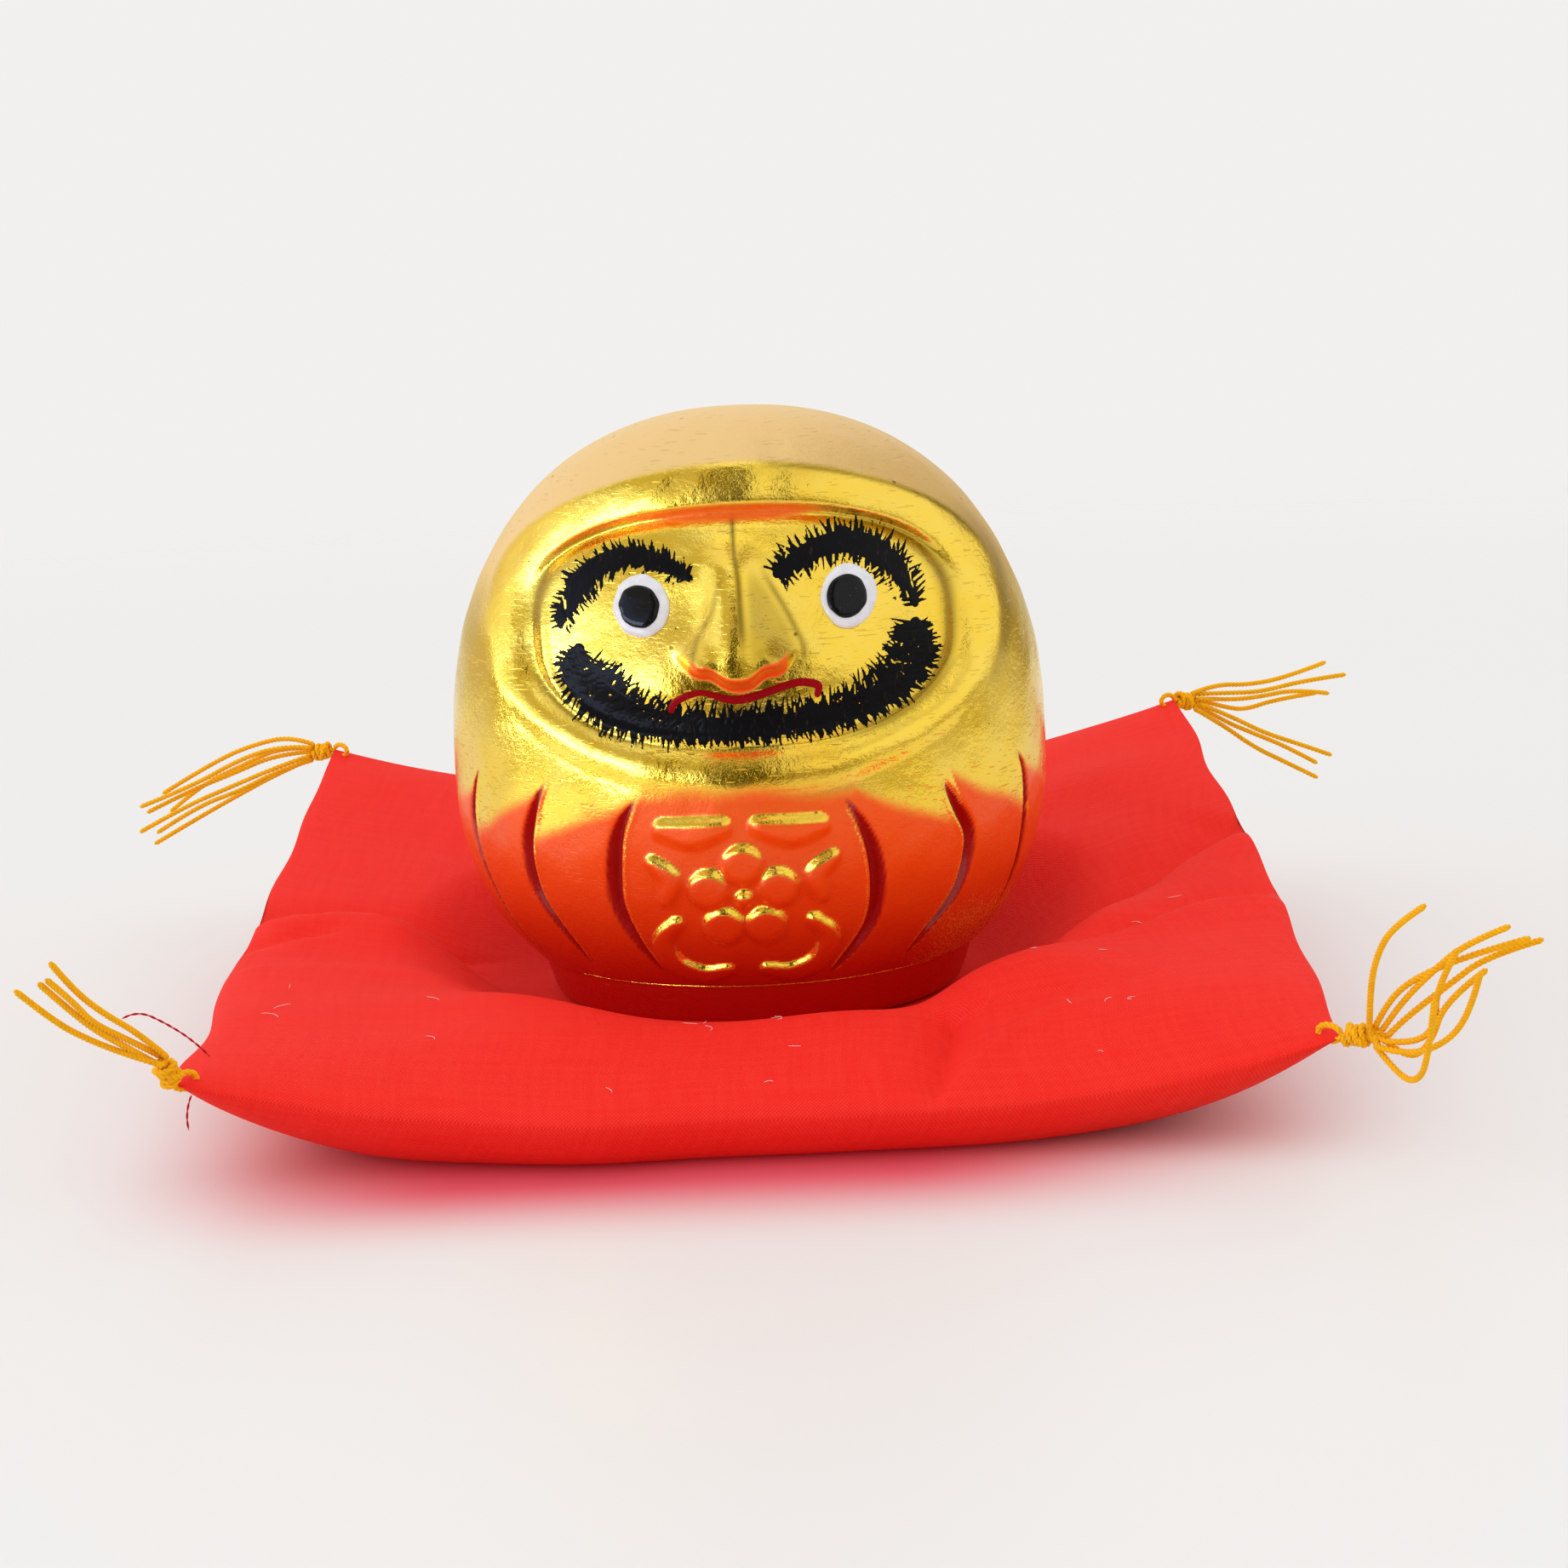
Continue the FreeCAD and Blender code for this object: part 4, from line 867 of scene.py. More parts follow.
class Brush:
    """Brush marks on the face, kept on a fine grid as distances from their edge, negative inside."""

    def __init__(self, x_range, z_range, seed):
        xs = np.arange(x_range[0], x_range[1], BRUSH_STEP)
        zs = np.arange(z_range[0], z_range[1], BRUSH_STEP)
        self.x, self.z = np.meshgrid(xs, zs)
        self.field = np.full(self.x.shape, 9.0)
        self.rng = np.random.default_rng(seed)

    def _reach(self, points):
        """The part of the grid near a stroke, and its distance from the stroke's outline there."""
        reach = max(p[2] for p in points) + 1.0
        low_x, high_x = min(p[0] for p in points) - reach, max(p[0] for p in points) + reach
        low_z, high_z = min(p[1] for p in points) - reach, max(p[1] for p in points) + reach
        columns = np.flatnonzero((self.x[0] > low_x) & (self.x[0] < high_x))
        rows = np.flatnonzero((self.z[:, 0] > low_z) & (self.z[:, 0] < high_z))
        window = slice(rows[0], rows[-1] + 1), slice(columns[0], columns[-1] + 1)
        return window, chain_distance(self.x[window], self.z[window], points)

    def mark(self, points):
        """Add a stroke along (x, height, half width) points."""
        window, distance = self._reach(points)
        self.field[window] = np.minimum(self.field[window], distance)

    def scrape(self, points):
        """Take a thin line out of the paint."""
        window, distance = self._reach(points)
        self.field[window] = np.maximum(self.field[window], -distance)

    def hair(self, x, z, angle, length, half_w, bend=0.0):
        """A tapered hair from (x, height) towards angle, in degrees from +X."""
        points = []
        for k in range(5):
            t = k / 4
            turn = math.radians(angle + bend * t)
            taper = half_w * (1 - t) ** 0.8 + 0.03
            points.append((x + length * t * math.cos(turn), z + length * t * math.sin(turn), taper))
        self.mark(points)

    def piece(self, name, face, material, slot, node):
        """The marks as a thin raised film on the face."""
        f = self.field
        centre = 0.25 * (f[:-1, :-1] + f[1:, :-1] + f[:-1, 1:] + f[1:, 1:])
        kept = centre < 0
        columns = f.shape[1]
        rows, cols = np.nonzero(kept)
        first = rows * columns + cols
        quads = np.stack([first, first + 1, first + columns + 1, first + columns], axis=-1)
        used, flat = np.unique(quads, return_inverse=True)
        quads = flat.reshape(-1, 4)
        x, z, d = self.x.ravel()[used], self.z.ravel()[used], f.ravel()[used]
        slope_z, slope_x = np.gradient(f, BRUSH_STEP)
        gx, gz = slope_x.ravel()[used], slope_z.ravel()[used]
        count = np.bincount(quads.ravel(), minlength=len(used))
        rim = count < 4
        steep = np.maximum(gx ** 2 + gz ** 2, 0.3)
        shift = np.where(rim, np.clip(d, -BRUSH_STEP, BRUSH_STEP) / steep, 0.0)
        x, z = x - shift * gx, z - shift * gz
        lift = np.where(rim, 0.03, BRUSH_THICKNESS * np.clip((-d + 0.1) / 0.45, 0.35, 1.0))
        y = np.array([face.depth(px, pz) for px, pz in zip(x, z)])
        top = np.stack([x, y - lift, z], axis=-1)
        under = np.stack([x, y + 0.08, z], axis=-1)
        half = len(used)
        edges = {}
        for quad in quads.tolist():
            for a, b in zip(quad, quad[1:] + quad[:1]):
                if (b, a) in edges:
                    del edges[(b, a)]
                else:
                    edges[(a, b)] = True
        faces = quads.tolist() + (quads[:, ::-1] + half).tolist()
        faces += [[b, a, a + half, b + half] for a, b in edges]
        made = mesh_piece(name, np.vstack([top, under]), faces, material)
        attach(made, "doll")
        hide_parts(node)
        return made


# Middle lines of the brushed hair: (x, height, half width).
BEARD = [(-26.0, 70.6, 1.5), (-26.6, 67.2, 3.9), (-23.4, 63.6, 4.8), (-18.0, 60.8, 4.0), (-11.5, 59.0, 2.9),
         (-4.0, 58.7, 2.5), (2.5, 58.7, 2.5), (9.7, 59.1, 2.6), (16.5, 60.4, 2.9), (22.6, 62.9, 3.5),
         (26.6, 66.2, 3.8), (27.6, 69.2, 3.2), (27.4, 72.3, 1.5)]
BROW_LEFT = [(-29.0, 74.0, 0.9), (-27.9, 77.3, 1.9), (-25.4, 80.9, 2.7), (-21.8, 83.6, 2.5),
             (-17.6, 84.8, 2.1), (-13.8, 84.3, 1.9), (-10.6, 82.9, 1.7), (-8.0, 81.4, 1.0)]
BROW_RIGHT = [(5.8, 81.6, 1.2), (8.0, 83.0, 2.0), (12.0, 84.9, 2.5), (16.4, 85.6, 2.7), (20.6, 84.5, 2.9),
              (23.8, 82.0, 2.9), (26.1, 78.8, 2.2), (27.6, 75.2, 0.9)]
MOUTH = [(-11.6, 61.6, 0.62), (-10.9, 62.8, 0.6), (-8.6, 63.9, 0.55), (-6.2, 64.1, 0.45), (-2.6, 63.0, 0.62),
         (0.2, 63.0, 0.68), (2.6, 63.6, 0.62), (6.9, 64.9, 0.6), (9.2, 65.2, 0.62), (11.4, 64.6, 0.62),
         (11.3, 63.2, 0.5)]


# (side, line, x and height of the grid, seed, hairs, their reach above and below, their leans, bare slits)
BROWS = [
    ("left", BROW_LEFT, (-34, -3), (70, 91), 12, 110, (-0.4, 1.4), (-0.4, 1.8), (20, -25), 26),
    ("right", BROW_RIGHT, (1, 33), (70, 92), 13, 120, (-0.4, 2.0), (-0.4, 2.0), (10, -10), 34),
]


def hairs_along(brush, line, count, left, right, lean, width=0.22):
    """Hairs from a stroke's middle line to both sides; left and right are (shortest, longest) past its edge."""
    path = rounded_path(line, 8)
    for k in range(count):
        t = (k + brush.rng.uniform(0, 1)) / count * (len(path) - 1)
        index = min(int(t), len(path) - 2)
        part = t - index
        (xa, za, ra), (xb, zb, rb) = path[index], path[index + 1]
        x, z, half = xa + part * (xb - xa), za + part * (zb - za), ra + part * (rb - ra)
        along = math.degrees(math.atan2(zb - za, xb - xa))
        for side, reach in ((1, left), (-1, right)):
            if reach[1] > 0:
                length = half + brush.rng.uniform(*reach)
                angle = along + side * 90 + lean(x, z, side) + brush.rng.normal(0, 9)
                brush.hair(x, z, angle, length, width * brush.rng.uniform(0.7, 1.5), brush.rng.normal(0, 8))


def scrape_between(brush, line, count):
    """Bare slits between a brow's hairs, from its edges inwards."""
    path = rounded_path(line, 8)
    for _ in range(count):
        x, z, half = path[brush.rng.integers(3, len(path) - 3)]
        side = -1 if brush.rng.uniform() < 0.65 else 1
        x, z = x + brush.rng.normal(0, 0.5), z + side * half * brush.rng.uniform(0.5, 1.0)
        angle = math.radians(side * 90 + brush.rng.normal(0, 14))
        length = brush.rng.uniform(0.8, 2.2)
        brush.scrape([(x, z, 0.04), (x + length * math.cos(angle), z + length * math.sin(angle), 0.16)])


def brushed_face(face, black, red):
    """Beard, brows and mouth, each a film of brushed lacquer."""
    beard = Brush((-34, 34), (54, 77), 11)
    beard.mark([(x, z, half * 0.62) for x, z, half in rounded_path(BEARD, 6)])
    hairs_along(beard, BEARD, 380, (-0.2, 2.9), (-0.3, 1.3), lambda x, z, side: -10 if side > 0 else 10)
    path = rounded_path(BEARD, 6)
    for _ in range(260):
        x, z, half = path[beard.rng.integers(4, len(path) - 4)]
        if abs(x) < 12 and beard.rng.uniform() < 0.7:
            continue
        x += beard.rng.normal(0, 0.45) * half
        z += beard.rng.normal(0, 0.45) * half
        angle = math.atan2(FACE_Z - 4 - z, -x) + beard.rng.normal(0, 0.2)
        length = beard.rng.uniform(0.3, 1.3)
        ends = [(x, z, 0.05), (x + length * math.cos(angle), z + length * math.sin(angle), 0.03)]
        beard.scrape(ends)
    beard.piece("beard_brushwork", face, black, "black_brushwork", "beard")

    for side, line, x_range, z_range, seed, hairs, above, below, leans, slits in BROWS:
        brow = Brush(x_range, z_range, seed)
        brow.mark([(x, z, half * 0.6) for x, z, half in rounded_path(line, 6)])
        hairs_along(brow, line, hairs, above, below, lambda x, z, side: leans[0] if side > 0 else leans[1])
        scrape_between(brow, line, slits)
        brow.piece("brow_%s_brushwork" % side, face, black, "black_brushwork", "brow_" + side)

    mouth = Brush((-14, 14), (59, 68), 14)
    mouth.mark(rounded_path(MOUTH, 6))
    mouth.piece("mouth_brushwork", face, red, "red_brushwork", "mouth_line")


# ======================================================================================================
# Cushion
# ======================================================================================================
def edge_heights(u, v):
    """Height of the seam along the left, right, front and back edge."""
    left = LEFT_SEAM[0] + LEFT_SEAM[1] * v + LEFT_SEAM[2] * v * v
    right = RIGHT_SEAM[0] + RIGHT_SEAM[1] * v + RIGHT_SEAM[2] * v * v
    front = FRONT_SEAM[0] + FRONT_SEAM[1] * np.abs(u) ** 3
    back = BACK_SEAM[0] + BACK_SEAM[1] * u + BACK_SEAM[2] * u * u
    return left, right, front, back


def seam_level(u, v):
    """Height of the sheet that the four edges span."""
    left, right, front, back = edge_heights(u, v)
    a, b = (1 + u) / 2, (1 + v) / 2
    front_corners = CORNER_Z["front_left"] * (1 - a) + CORNER_Z["front_right"] * a
    back_corners = CORNER_Z["back_left"] * (1 - a) + CORNER_Z["back_right"] * a
    sheet = left * (1 - a) + right * a + front * (1 - b) + back * b
    return sheet - front_corners * (1 - b) - back_corners * b


def plan(u, v):
    """Place in plan of a point of the cushion, with sides that bulge and waver a little."""
    x = CUSHION_HALF_W * u + SIDE_BULGE * (1 - v * v) * u
    y = (CUSHION_FRONT_Y + CUSHION_BACK_Y) / 2 + (CUSHION_BACK_Y - CUSHION_FRONT_Y) / 2 * v
    side = np.abs(u) ** 6 * np.sign(u)
    x = x + side * EDGE_WOBBLE * (1 - v ** 8) * waves(v * 85 + 40 * u, u * 0, 55.0, 31, 2)
    ends = np.abs(v) ** 6
    y = y + ends * EDGE_WOBBLE * (1 - u ** 8) * waves(u * 85, v * 60, 70.0, 32, 2)
    return x, y


def fold_field(x, y):
    """Height of all folds and humps over the plan."""
    total = np.zeros_like(x)
    for line, height, front_w, back_w in FOLDS:
        away, place, _, behind = nearest_on_path(x, y, rounded_path(line, 8))
        width = np.where(behind > 0, back_w, front_w)
        strength = smooth_step(place / 0.15 + 0.3) * smooth_step((1 - place) / 0.35)
        total += height * strength * np.exp(-np.abs(away / width) ** 1.4)
    for (cx, cy), height, half_w, half_d in HUMPS:
        total += height * np.exp(-((x - cx) / half_w) ** 2 - ((y - cy) / half_d) ** 2)
    return total


def cushion_sheets():
    """Points of the top and the underside of the stuffed cushion, on the same grid."""
    quarter = 0.5 * math.pi
    line = np.sin(np.linspace(-quarter, quarter, CLOTH_STEPS + 1) * 0.97) / math.sin(0.97 * quarter)
    u, v = np.meshgrid(line, line)
    x, y = plan(u, v)
    seam = seam_level(u, v)
    puff = ((1 - u ** 4) * (1 - v ** 4)) ** 0.55
    top = seam + profile(LOFT_UP, v, 0.12) * puff + 0.7 * puff * waves(x, y, 60.0, 21, 2)
    top = top + FOLD_STRENGTH * (0.3 + 0.7 * puff) * fold_field(x, y)
    pressed = 1 - smooth_step((np.hypot(x, y) - SEAT_R) / SEAT_SLOPE)
    top = top + pressed * (SEAT_LEVEL - top)
    under = seam - LOFT_DOWN * ((1 - u ** 6) * (1 - v ** 6)) ** 0.6
    under = soft_max(under, np.full_like(under, -0.35), 1.5)
    edge = np.minimum(1 - np.abs(u), 1 - np.abs(v))
    under = np.where(edge < 1e-6, seam, np.minimum(under, top - 0.4 * smooth_step(edge / 0.05)))
    top = np.where(edge < 1e-6, seam, top)
    return x, y, top, np.maximum(under, 0.0)


def spread_flat(x, y, z):
    """How far each place of a sheet lies from its left and front edges, along the cloth."""
    sheet = np.stack([x, y, z], axis=-1)
    across = np.cumsum(np.linalg.norm(np.diff(sheet, axis=1, prepend=sheet[:, :1]), axis=-1), axis=1)
    along = np.cumsum(np.linalg.norm(np.diff(sheet, axis=0, prepend=sheet[:1]), axis=-1), axis=0)
    return np.stack([across, along], axis=-1).reshape(-1, 2)


def cushion(material):
    """The cushion's cover as one closed skin, top and underside joined along the seam."""
    x, y, top, under = cushion_sheets()
    rows, columns = x.shape
    upper = np.stack([x, y, top], axis=-1).reshape(-1, 3)
    lower = np.stack([x, y, under], axis=-1).reshape(-1, 3)
    index = np.arange(rows * columns).reshape(rows, columns)
    border = np.zeros((rows, columns), dtype=bool)
    border[0, :] = border[-1, :] = border[:, 0] = border[:, -1] = True
    other = np.where(border, index, index + rows * columns).ravel()
    faces = grid_faces(rows, columns)
    points = np.vstack([upper, lower])
    used, renumbered = np.unique(np.vstack([faces, other[faces][:, ::-1]]), return_inverse=True)
    uv = np.vstack([spread_flat(x, y, top), spread_flat(x, y, under)])[used] * MM
    piece = mesh_piece("cushion_stuffed_cover", points[used], renumbered.reshape(-1, 4), material, uv=uv)
    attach(piece, "cushion")
    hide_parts("cushion_cover_top", "cushion_cover_bottom", "cushion_wadding")
    return piece


# ======================================================================================================
# Tassels
# ======================================================================================================
YARN_PLIES = 3
YARN_PITCH = 2.6
YARN_SIDES = 18
YARN_RING_STEP = 0.22


def spline_points(route):
    """Points in millimetres along the smooth spline whose control points are the route's."""
    curve = bpy.data.curves.new("route", "CURVE")
    curve.dimensions = "3D"
    spline = curve.splines.new("NURBS")
    spline.points.add(len(route) - 1)
    for point, place in zip(spline.points, route):
        point.co = (*[c * MM for c in place], 1)
    spline.order_u = 3
    spline.use_endpoint_u = True
    spline.resolution_u = 16
    holder = bpy.data.objects.new("route", curve)
    mesh = bpy.data.meshes.new_from_object(holder)
    points = np.array([tuple(vertex.co) for vertex in mesh.vertices]) / MM
    bpy.data.meshes.remove(mesh)
    bpy.data.objects.remove(holder)
    bpy.data.curves.remove(curve)
    return points


def even_points(points, step):
    """The same line with points a step apart."""
    lengths = np.concatenate([[0], np.cumsum(np.linalg.norm(np.diff(points, axis=0), axis=1))])
    count = max(int(round(lengths[-1] / step)), 4)
    places = np.linspace(0, lengths[-1], count + 1)
    return np.stack([np.interp(places, lengths, points[:, k]) for k in range(3)], axis=-1), lengths[-1]


def yarn_mesh(points, diameter, twist=0.0, plies=YARN_PLIES, taper=1.2):
    """Vertices, faces and groove depth of a plied yarn along points."""
    line, total = even_points(np.asarray(points, dtype=float), YARN_RING_STEP)
    tangents = np.gradient(line, axis=0)
    tangents /= np.linalg.norm(tangents, axis=1, keepdims=True)
    side = np.cross(tangents[0], (0.3, 0.2, 0.93))
    side /= np.linalg.norm(side)
    angles = np.linspace(0, 2 * math.pi, YARN_SIDES, endpoint=False)
    vertices, grooves = [], []
    for k, (centre, tangent) in enumerate(zip(line, tangents)):
        side = side - tangent * np.dot(side, tangent)
        side /= np.linalg.norm(side)
        other = np.cross(tangent, side)
        s = k / (len(line) - 1) * total
        turn = twist + 2 * math.pi * s / YARN_PITCH
        lobe = (angles - turn + math.pi / plies) % (2 * math.pi / plies) - math.pi / plies
        ends = min(1.0, 0.55 + min(s, total - s) / taper)
        radius = 0.5 * diameter * np.cos(lobe) * ends
        around = np.cos(angles)[:, None] * side + np.sin(angles)[:, None] * other
        vertices.append(centre + radius[:, None] * around)
        grooves.append(1 - (np.cos(lobe) - 0.5) / 0.5)
    count = len(line)
    vertices = np.concatenate(vertices)
    faces = grid_faces(count, YARN_SIDES, closed=True).tolist()
    faces.append(list(range(YARN_SIDES))[::-1])
    faces.append([(count - 1) * YARN_SIDES + k for k in range(YARN_SIDES)])
    return vertices, faces, np.concatenate(grooves), total


def yarn_piece(name, paths, diameter, material, seed=0, plies=YARN_PLIES):
    """One mesh of one or more lengths of yarn."""
    rng = np.random.default_rng(seed)
    vertices, faces, grooves = [], [], []
    start = 0
    for path in paths:
        v, f, g, _ = yarn_mesh(path, diameter, rng.uniform(0, 6), plies)
        vertices.append(v)
        faces += [[start + corner for corner in face] for face in f]
        grooves.append(g)
        start += len(v)
    values = {"groove": np.concatenate(grooves)}
    return mesh_piece(name, np.concatenate(vertices), faces, material, values)


def frame_along(direction):
    """Two directions square to this one and to each other."""
    direction = direction / np.linalg.norm(direction)
    side = np.cross(direction, (0, 0, 1.0))
    side /= np.linalg.norm(side)
    return direction, side, np.cross(direction, side)


def wraps(start, end, radius, turns, rng, steps=14):
    """A slightly uneven winding from start to end."""
    direction, side, other = frame_along(end - start)
    length = np.linalg.norm(end - start)
    points = []
    for k in range(int(turns * steps) + 1):
        t = k / (turns * steps)
        angle = 2 * math.pi * k / steps
        reach = radius * (1 + 0.10 * math.sin(3.1 * angle / 2 + rng.uniform(0, 0.4)))
        around = math.cos(angle) * side + math.sin(angle) * other
        points.append(start + direction * (length * t) + reach * around)
    return np.array(points)


ROOT_OVERLAP = 1.4             # how far a strand's root out of the knot runs along inside the strand


def tassel(corner, material):
    """The knot with the roots of its strands, and the loose strands, each its own piece."""
    tip, outer, routes = TASSELS[corner]
    tip, outer = np.array(tip), np.array(outer)
    body = "tassel_" + corner
    rng = np.random.default_rng(len(corner) * 7 + int(tip[0] > 0))
    direction, side, other = frame_along(outer - tip)
    knot_start = tip + direction * 0.7
    knot = [wraps(knot_start, outer - direction * 0.6, 1.25, 3.6, rng)]
    knot.append(np.array([tip, tip + direction * 1.5, outer - direction * 1.0, outer + direction * 0.3]))
    loop = []
    for k in range(13):
        angle = math.pi * 2 * k / 12
        loop.append(0.5 * (tip + outer) + 1.75 * math.cos(angle) * side + (1.4 * math.sin(angle)) * other
                    + direction * 1.2 * math.sin(angle + 0.6))
    knot.append(np.array(loop))
    for route in routes:
        strand = even_points(spline_points(route), YARN_RING_STEP)[0]
        begins, joined = strand[0], strand[int(ROOT_OVERLAP / YARN_RING_STEP)]
        leaves = outer + direction * 0.2 + 0.35 * (begins - outer)
        knot.append(np.array([outer - direction * 1.4, leaves, begins, joined]))
    piece = yarn_piece("tassel_knot_yarn_" + corner, knot, YARN_D, material, 3)
    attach(piece, body)
    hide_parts("tassel_knot_" + corner)
    for number, route in enumerate(routes, 1):
        path = spline_points(route)
        vertices, faces, grooves, total = yarn_mesh(path, YARN_D, number * 1.7)
        name = "tassel_strand_%s_%d" % (corner, number)
        strand = mesh_piece(name, vertices, faces, material, {"groove": grooves})
        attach(strand, body)
        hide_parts("tassel_strands_" + corner)


def corner_stitch(corner, material):
    """The yarn's loop through the cushion's corner."""
    tip = np.array(TASSELS[corner][0])
    inwards = np.array([-tip[0], -tip[1], 0.0])
    inwards /= np.linalg.norm(inwards)
    middle = tip + inwards * 2.0
    loop = []
    for k in range(25):
        angle = 2 * math.pi * k / 24
        loop.append(middle - inwards * (2.0 * math.cos(angle)) + np.array([0, 0, 1.15 * math.sin(angle)]))
    piece = yarn_piece("corner_stitch_yarn_" + corner, [np.array(loop)], YARN_D, material, 5)
    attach(piece, "cushion")
    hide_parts("corner_stitch_" + corner)


def thread_tails(material):
    """The loose ends of the seam's thread at the front left corner."""
    tails = [spline_points(route) for route in THREAD_TAILS]
    piece = yarn_piece("sewing_thread_tails", tails, THREAD_D, material, 9, 2)
    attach(piece, "cushion")
    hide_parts("thread_tails")


LINT_COUNT = 26


def lint(cover, material):
    """Loose white fibres caught on the cloth."""
    mesh = cover.data
    points = np.array([tuple(v.co) for v in mesh.vertices]) / MM
    tree = BVHTree.FromPolygons([tuple(p) for p in points], [tuple(f.vertices) for f in mesh.polygons])
    rng = np.random.default_rng(17)
    fibres = []
    while len(fibres) < LINT_COUNT:
        x, y = rng.uniform(-76, 76), rng.uniform(-86, 20)
        if math.hypot(x, y) < 46:
            continue
        angle, bend, length = rng.uniform(0, math.pi), rng.normal(0, 0.5), rng.uniform(1.2, 3.6)
        path = []
        for k in range(6):
            place = tree.ray_cast(Vector((x, y, 90)), Vector((0, 0, -1)))[0]
            path.append((x, y, place.z + 0.06 + 0.25 * (k / 5) ** 2))
            x += length / 5 * math.cos(angle)
            y += length / 5 * math.sin(angle)
            angle += bend
        fibres.append(np.array(path))
    piece = yarn_piece("lint_fibres", fibres, 0.09, material, 19)
    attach(piece, "cushion")


# ======================================================================================================
# Stage
# ======================================================================================================
def glowing_card(name, corners, glow):
    """A bright card that is only seen in reflections."""
    material, _, shader = new_material(name, Base_Color=(0, 0, 0, 1), Roughness=0.9, Specular_IOR_Level=0.0)
    shader.inputs["Emission Color"].default_value = (0.75, 0.88, 1.25, 1)
    shader.inputs["Emission Strength"].default_value = glow
    mesh = bpy.data.meshes.new(name)
    mesh.from_pydata(corners, [], [(0, 1, 2, 3)])
    mesh.materials.append(material)
    holder = bpy.data.objects.new(name, mesh)
    bpy.context.scene.collection.objects.link(holder)
    holder.visible_camera = False
    holder.visible_diffuse = False
    holder.visible_shadow = False


# Brightness of the sky by direction, as it lights the set and as polished surfaces mirror it.
SKY_LEFT, SKY_RIGHT, SKY_BACK, SKY_FRONT, SKY_ABOVE = 1.50, 1.10, 0.95, 0.55, 1.05
PANEL_LEFT, PANEL_RIGHT, PANEL_HIGH, PANEL_BACK, PANEL_ABOVE, PANEL_LOW = 1.0, 0.95, 0.58, 0.88, 1.1, 0.30
FLOOR_LEFT, FLOOR_RIGHT, FLOOR_BACK, CEILING_RIGHT, DOORWAY, FRONT_GAP = 0.42, 0.50, 0.60, 0.78, 0.36, 0.05
SKY_SEEN = (0.89, 0.872, 0.855, 1)
WARM_MIRROR = (1.0, 0.80, 0.25, 1)
PLAIN_MIRROR = (1.0, 1.0, 1.0, 1)
COOL_MIRROR = (1.0, 1.12, 1.7, 1)


def studio_sky():
    """Soft light from all round; reflections see a bright panel on each side and a dark gap in front."""
    world = bpy.data.worlds.new("studio")
    bpy.context.scene.world = world
    world.use_nodes = True
    tree = world.node_tree
    parts = add_node(tree, "SeparateXYZ", {0: add_node(tree, "TexCoord").outputs["Generated"]}).outputs
    ahead = times(tree, parts["Y"], -1.0)
    turn = math_node(tree, "ARCTAN2", parts["X"], ahead)
    aside = math_node(tree, "ABSOLUTE", turn)

    left = times(tree, ramp(tree, turn, -0.1, -0.8), SKY_LEFT - SKY_FRONT)
    right = times(tree, ramp(tree, turn, 0.1, 0.6), SKY_RIGHT - SKY_FRONT)
    light = plus(tree, plus(tree, left, right), SKY_FRONT)
    light = mix_value(tree, ramp(tree, aside, 1.7, 2.3), light, SKY_BACK)
    light = mix_value(tree, ramp(tree, parts["Z"], 0.6, 0.95), light, SKY_ABOVE)
    diffuse = add_node(tree, "CombineXYZ", {0: light, 1: light, 2: light}).outputs[0]

    left = ramp(tree, turn, -0.15, -0.50)
    right = ramp(tree, turn, 0.10, 0.15)
    panel = plus(tree, times(tree, left, PANEL_LEFT - FRONT_GAP),
                      times(tree, right, PANEL_RIGHT - FRONT_GAP))
    panel = plus(tree, panel, FRONT_GAP)
    height = parts["Z"]
    far = ramp(tree, aside, 1.85, 2.1)
    low = times(tree, ramp(tree, height, 0.50, 0.25), ramp(tree, turn, 0.85, 0.55))
    zones = [
        (times(tree, low, right), PANEL_LOW),
        (times(tree, left, ramp(tree, height, 0.58, 0.72)), PANEL_HIGH),
        (times(tree, left, ramp(tree, height, 0.25, 0.10)), FLOOR_LEFT),
        (times(tree, right, ramp(tree, height, 0.22, 0.08)), FLOOR_RIGHT),
        (times(tree, right, ramp(tree, height, 0.76, 0.88)), CEILING_RIGHT),
        (far, PANEL_BACK),
        (times(tree, far, ramp(tree, height, 0.25, 0.05)), FLOOR_BACK),
        (times(tree, ramp(tree, turn, 2.1, 2.25), ramp(tree, turn, 2.75, 2.55)), DOORWAY),
        (ramp(tree, height, 0.955, 0.995), PANEL_ABOVE),
    ]
    for mask, brightness in zones:
        panel = mix_value(tree, mask, panel, brightness)
    cool = times(tree, ramp(tree, panel, 0.6, 0.95), ramp(tree, turn, -0.15, -0.5))
    cool = times(tree, cool, ramp(tree, aside, 2.1, 1.75))
    tint = mix_colour(tree, ramp(tree, panel, 0.15, 0.90), WARM_MIRROR, PLAIN_MIRROR)
    tint = mix_colour(tree, cool, tint, COOL_MIRROR)
    mirrored = add_node(tree, "VectorMath", {0: tint, "Scale": panel}, operation="SCALE").outputs[0]

    ray = add_node(tree, "LightPath").outputs
    colour = mix_colour(tree, ray["Is Glossy Ray"], diffuse, mirrored)
    colour = mix_colour(tree, ray["Is Camera Ray"], colour, SKY_SEEN)
    tree.links.new(colour, tree.nodes["Background"].inputs["Color"])


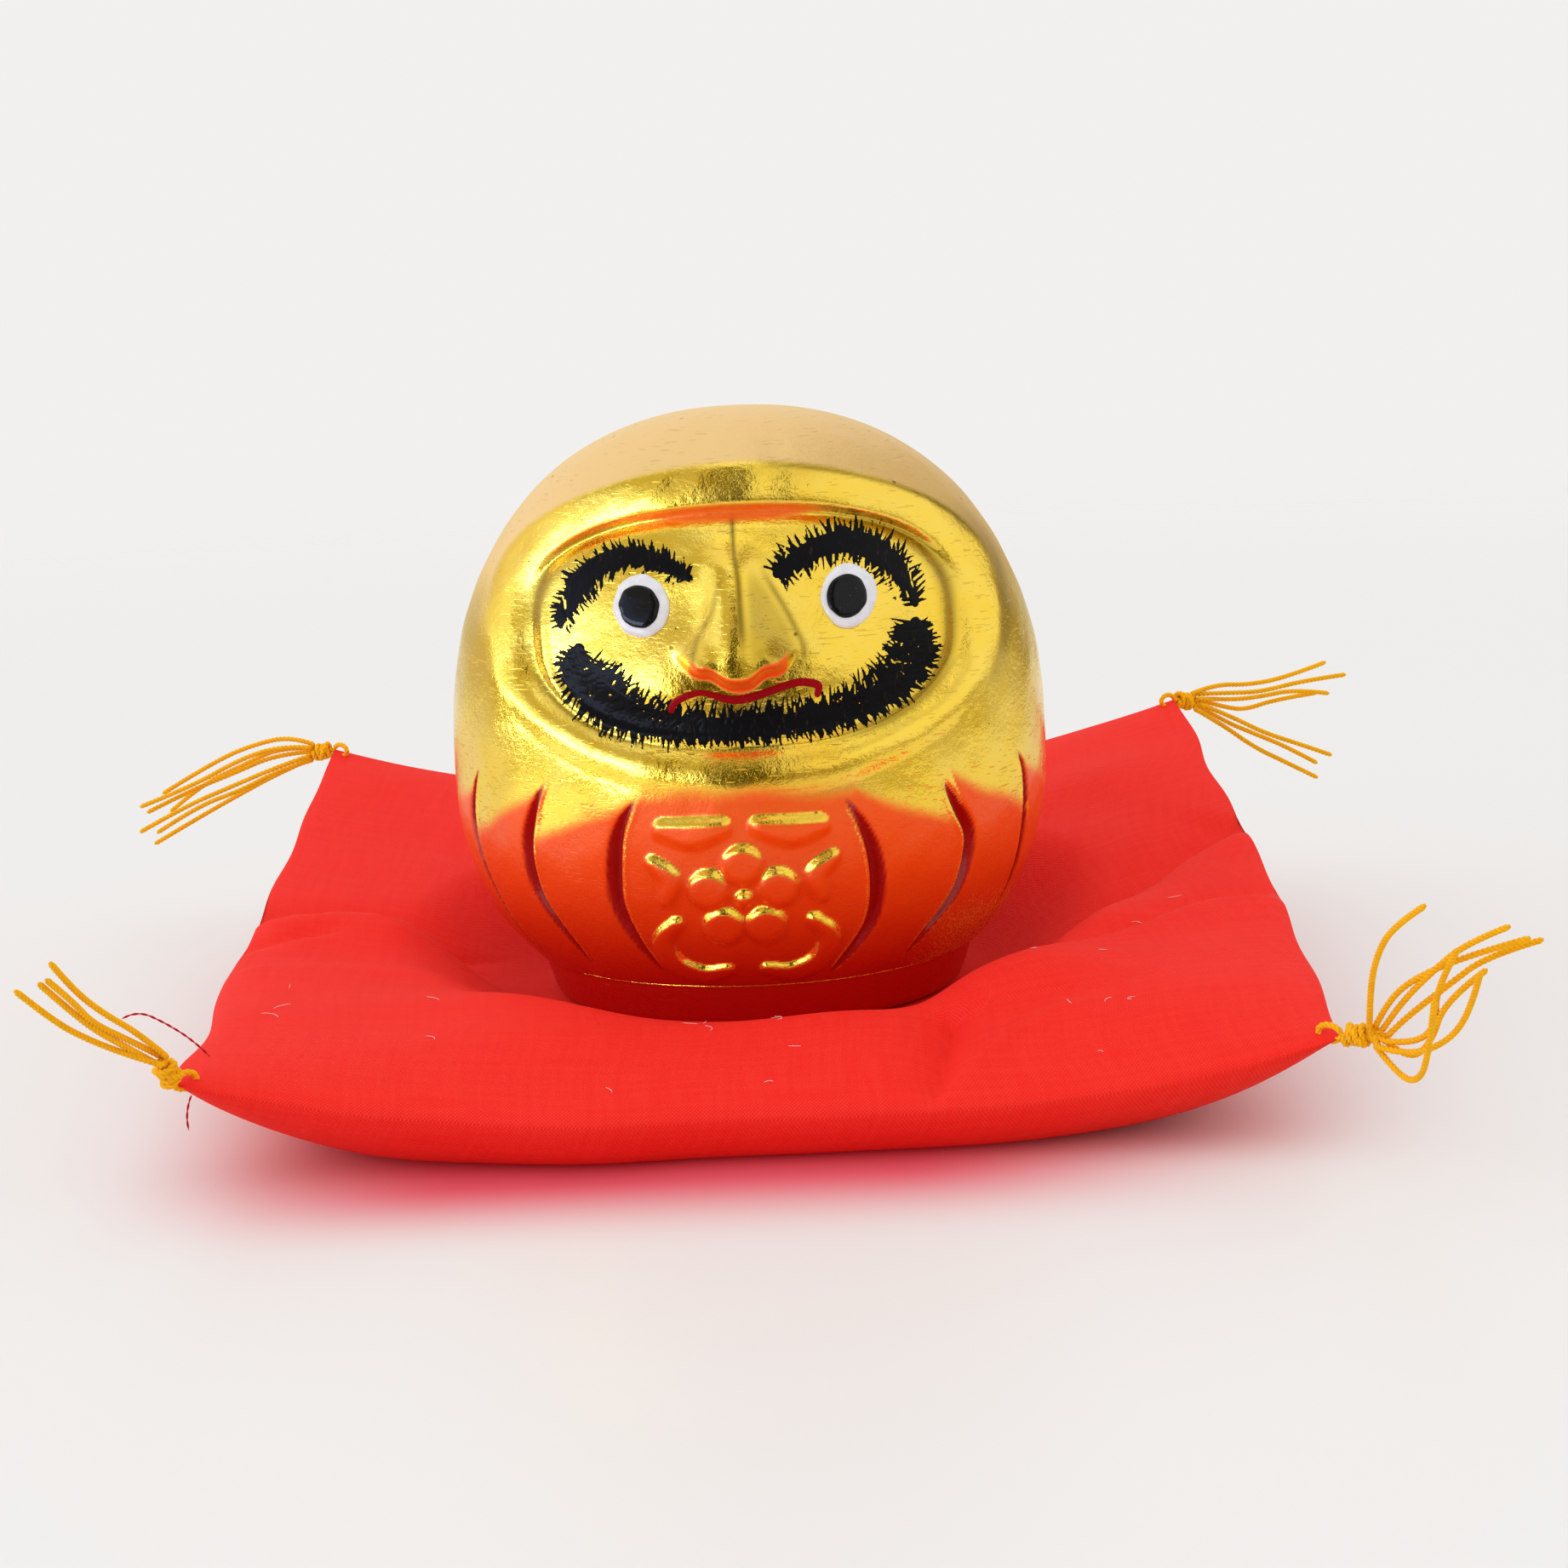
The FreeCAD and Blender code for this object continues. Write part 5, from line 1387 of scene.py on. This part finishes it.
LEFT_GLOW = 7.5
LEFT_GLOW_CORNERS = [(-0.75, 0.05, 0.10), (-0.33, -0.60, 0.08), (-0.33, -0.60, 0.36), (-0.75, 0.05, 0.26)]
FLOOR_HALF = 3.0
FLOOR_COLOUR = (0.845, 0.83, 0.815, 1)
# Painted shadow and painted red bounce light: the floor's own colour turns dark red in front of the cushion.
RED_GLOW_COLOUR = (0.74, 0.075, 0.13, 1)
RED_GLOW_MIDDLE = -0.012            # middle of that light in x
RED_GLOW_SIDES = (0.088, 0.030)     # distance from its middle at which it has died out, and at which it is full
RED_GLOW_REACH = (-0.130, -0.090)   # how far the cushion's red light reaches on the floor in front of it
RED_GLOW_BACK = (0.040, -0.030)     # where that light dies out under the cushion
FLOOR_FADE = (0.45, 1.3)            # distance from the doll over which the floor gives way to the backdrop


def stage():
    """Floor with the cushion's shadow and red bounce light painted on it, sky and the card of light on the
    left.
    """
    mesh = bpy.data.meshes.new("floor")
    f = FLOOR_HALF
    mesh.from_pydata([(-f, -f, 0), (f, -f, 0), (f, f, 0), (-f, f, 0)], [], [(0, 1, 2, 3)])
    material, tree, shader = new_material("pale_floor", Roughness=0.42)
    place = add_node(tree, "TexCoord").outputs["Object"]
    parts = add_node(tree, "SeparateXYZ", {0: place}).outputs
    ahead = ramp(tree, parts["Y"], *RED_GLOW_REACH)
    ahead = times(tree, ahead, ramp(tree, parts["Y"], *RED_GLOW_BACK))
    aside = ramp(tree, math_node(tree, "ABSOLUTE", minus(tree, parts["X"], RED_GLOW_MIDDLE)), *RED_GLOW_SIDES)
    glow = times(tree, times(tree, ahead, ahead), aside)
    base = mix_colour(tree, times(tree, glow, 0.92), FLOOR_COLOUR, RED_GLOW_COLOUR)
    tree.links.new(base, shader.inputs["Base Color"])
    # Painted red bounce light: the floor glows faintly red there, though it is no lamp.
    shader.inputs["Emission Color"].default_value = (1.0, 0.02, 0.05, 1)
    tree.links.new(times(tree, glow, 0.05), shader.inputs["Emission Strength"])
    away = add_node(tree, "VectorMath", {0: place}, operation="LENGTH").outputs["Value"]
    gone = add_node(tree, "BsdfTransparent").outputs[0]
    both = add_node(tree, "MixShader", {0: ramp(tree, away, *FLOOR_FADE), 1: shader.outputs[0], 2: gone})
    tree.links.new(both.outputs[0], tree.nodes["Material Output"].inputs["Surface"])
    mesh.materials.append(material)
    floor = bpy.data.objects.new("floor", mesh)
    bpy.context.scene.collection.objects.link(floor)

    studio_sky()
    glowing_card("left_glow", LEFT_GLOW_CORNERS, LEFT_GLOW)
    bpy.context.scene.view_settings.view_transform = "Standard"


def main():
    """Build everything."""
    add_camera()
    stage()
    # Each yarn's second colour is painted shade for the grooves between its plies.
    yarn = yarn_material("yellow_yarn", (1.0, 0.53, 0.001), (1.0, 0.32, 0.0))
    for corner in TASSELS:
        tassel(corner, yarn)
        corner_stitch(corner, yarn)
    thread_tails(yarn_material("red_thread", (0.72, 0.01, 0.02), (0.3, 0.0, 0.01)))
    lint(cushion(red_cloth()), yarn_material("white_lint", (0.85, 0.80, 0.78), (0.6, 0.5, 0.5)))
    face = Face(doll_skin(gold_lacquer()))
    white = enamel("white_enamel", (0.80, 0.79, 0.82))
    black = enamel("black_enamel", (0.006, 0.006, 0.007), 0.08)
    for name, (x, z) in EYES.items():
        drop_of_enamel("eye_white_drop_" + name, face, x, z, EYE_HALF_W, EYE_HALF_H, EYE_RISE, white,
                       "eye_white_" + name)
        drop_of_enamel("pupil_drop_" + name, face, x - 0.35, z + 0.1, PUPIL_R, PUPIL_R, PUPIL_RISE, black,
                       "pupil_" + name, under=lambda x, z: EYE_RISE * 0.86, bed=0.3)
    brushed_face(face, brushwork("black_brushwork", (0.005, 0.005, 0.006), (0.05, 0.03, 0.015)),
                 brushwork("red_brushwork", (0.30, 0.002, 0.006), (0.5, 0.02, 0.01)))


main()
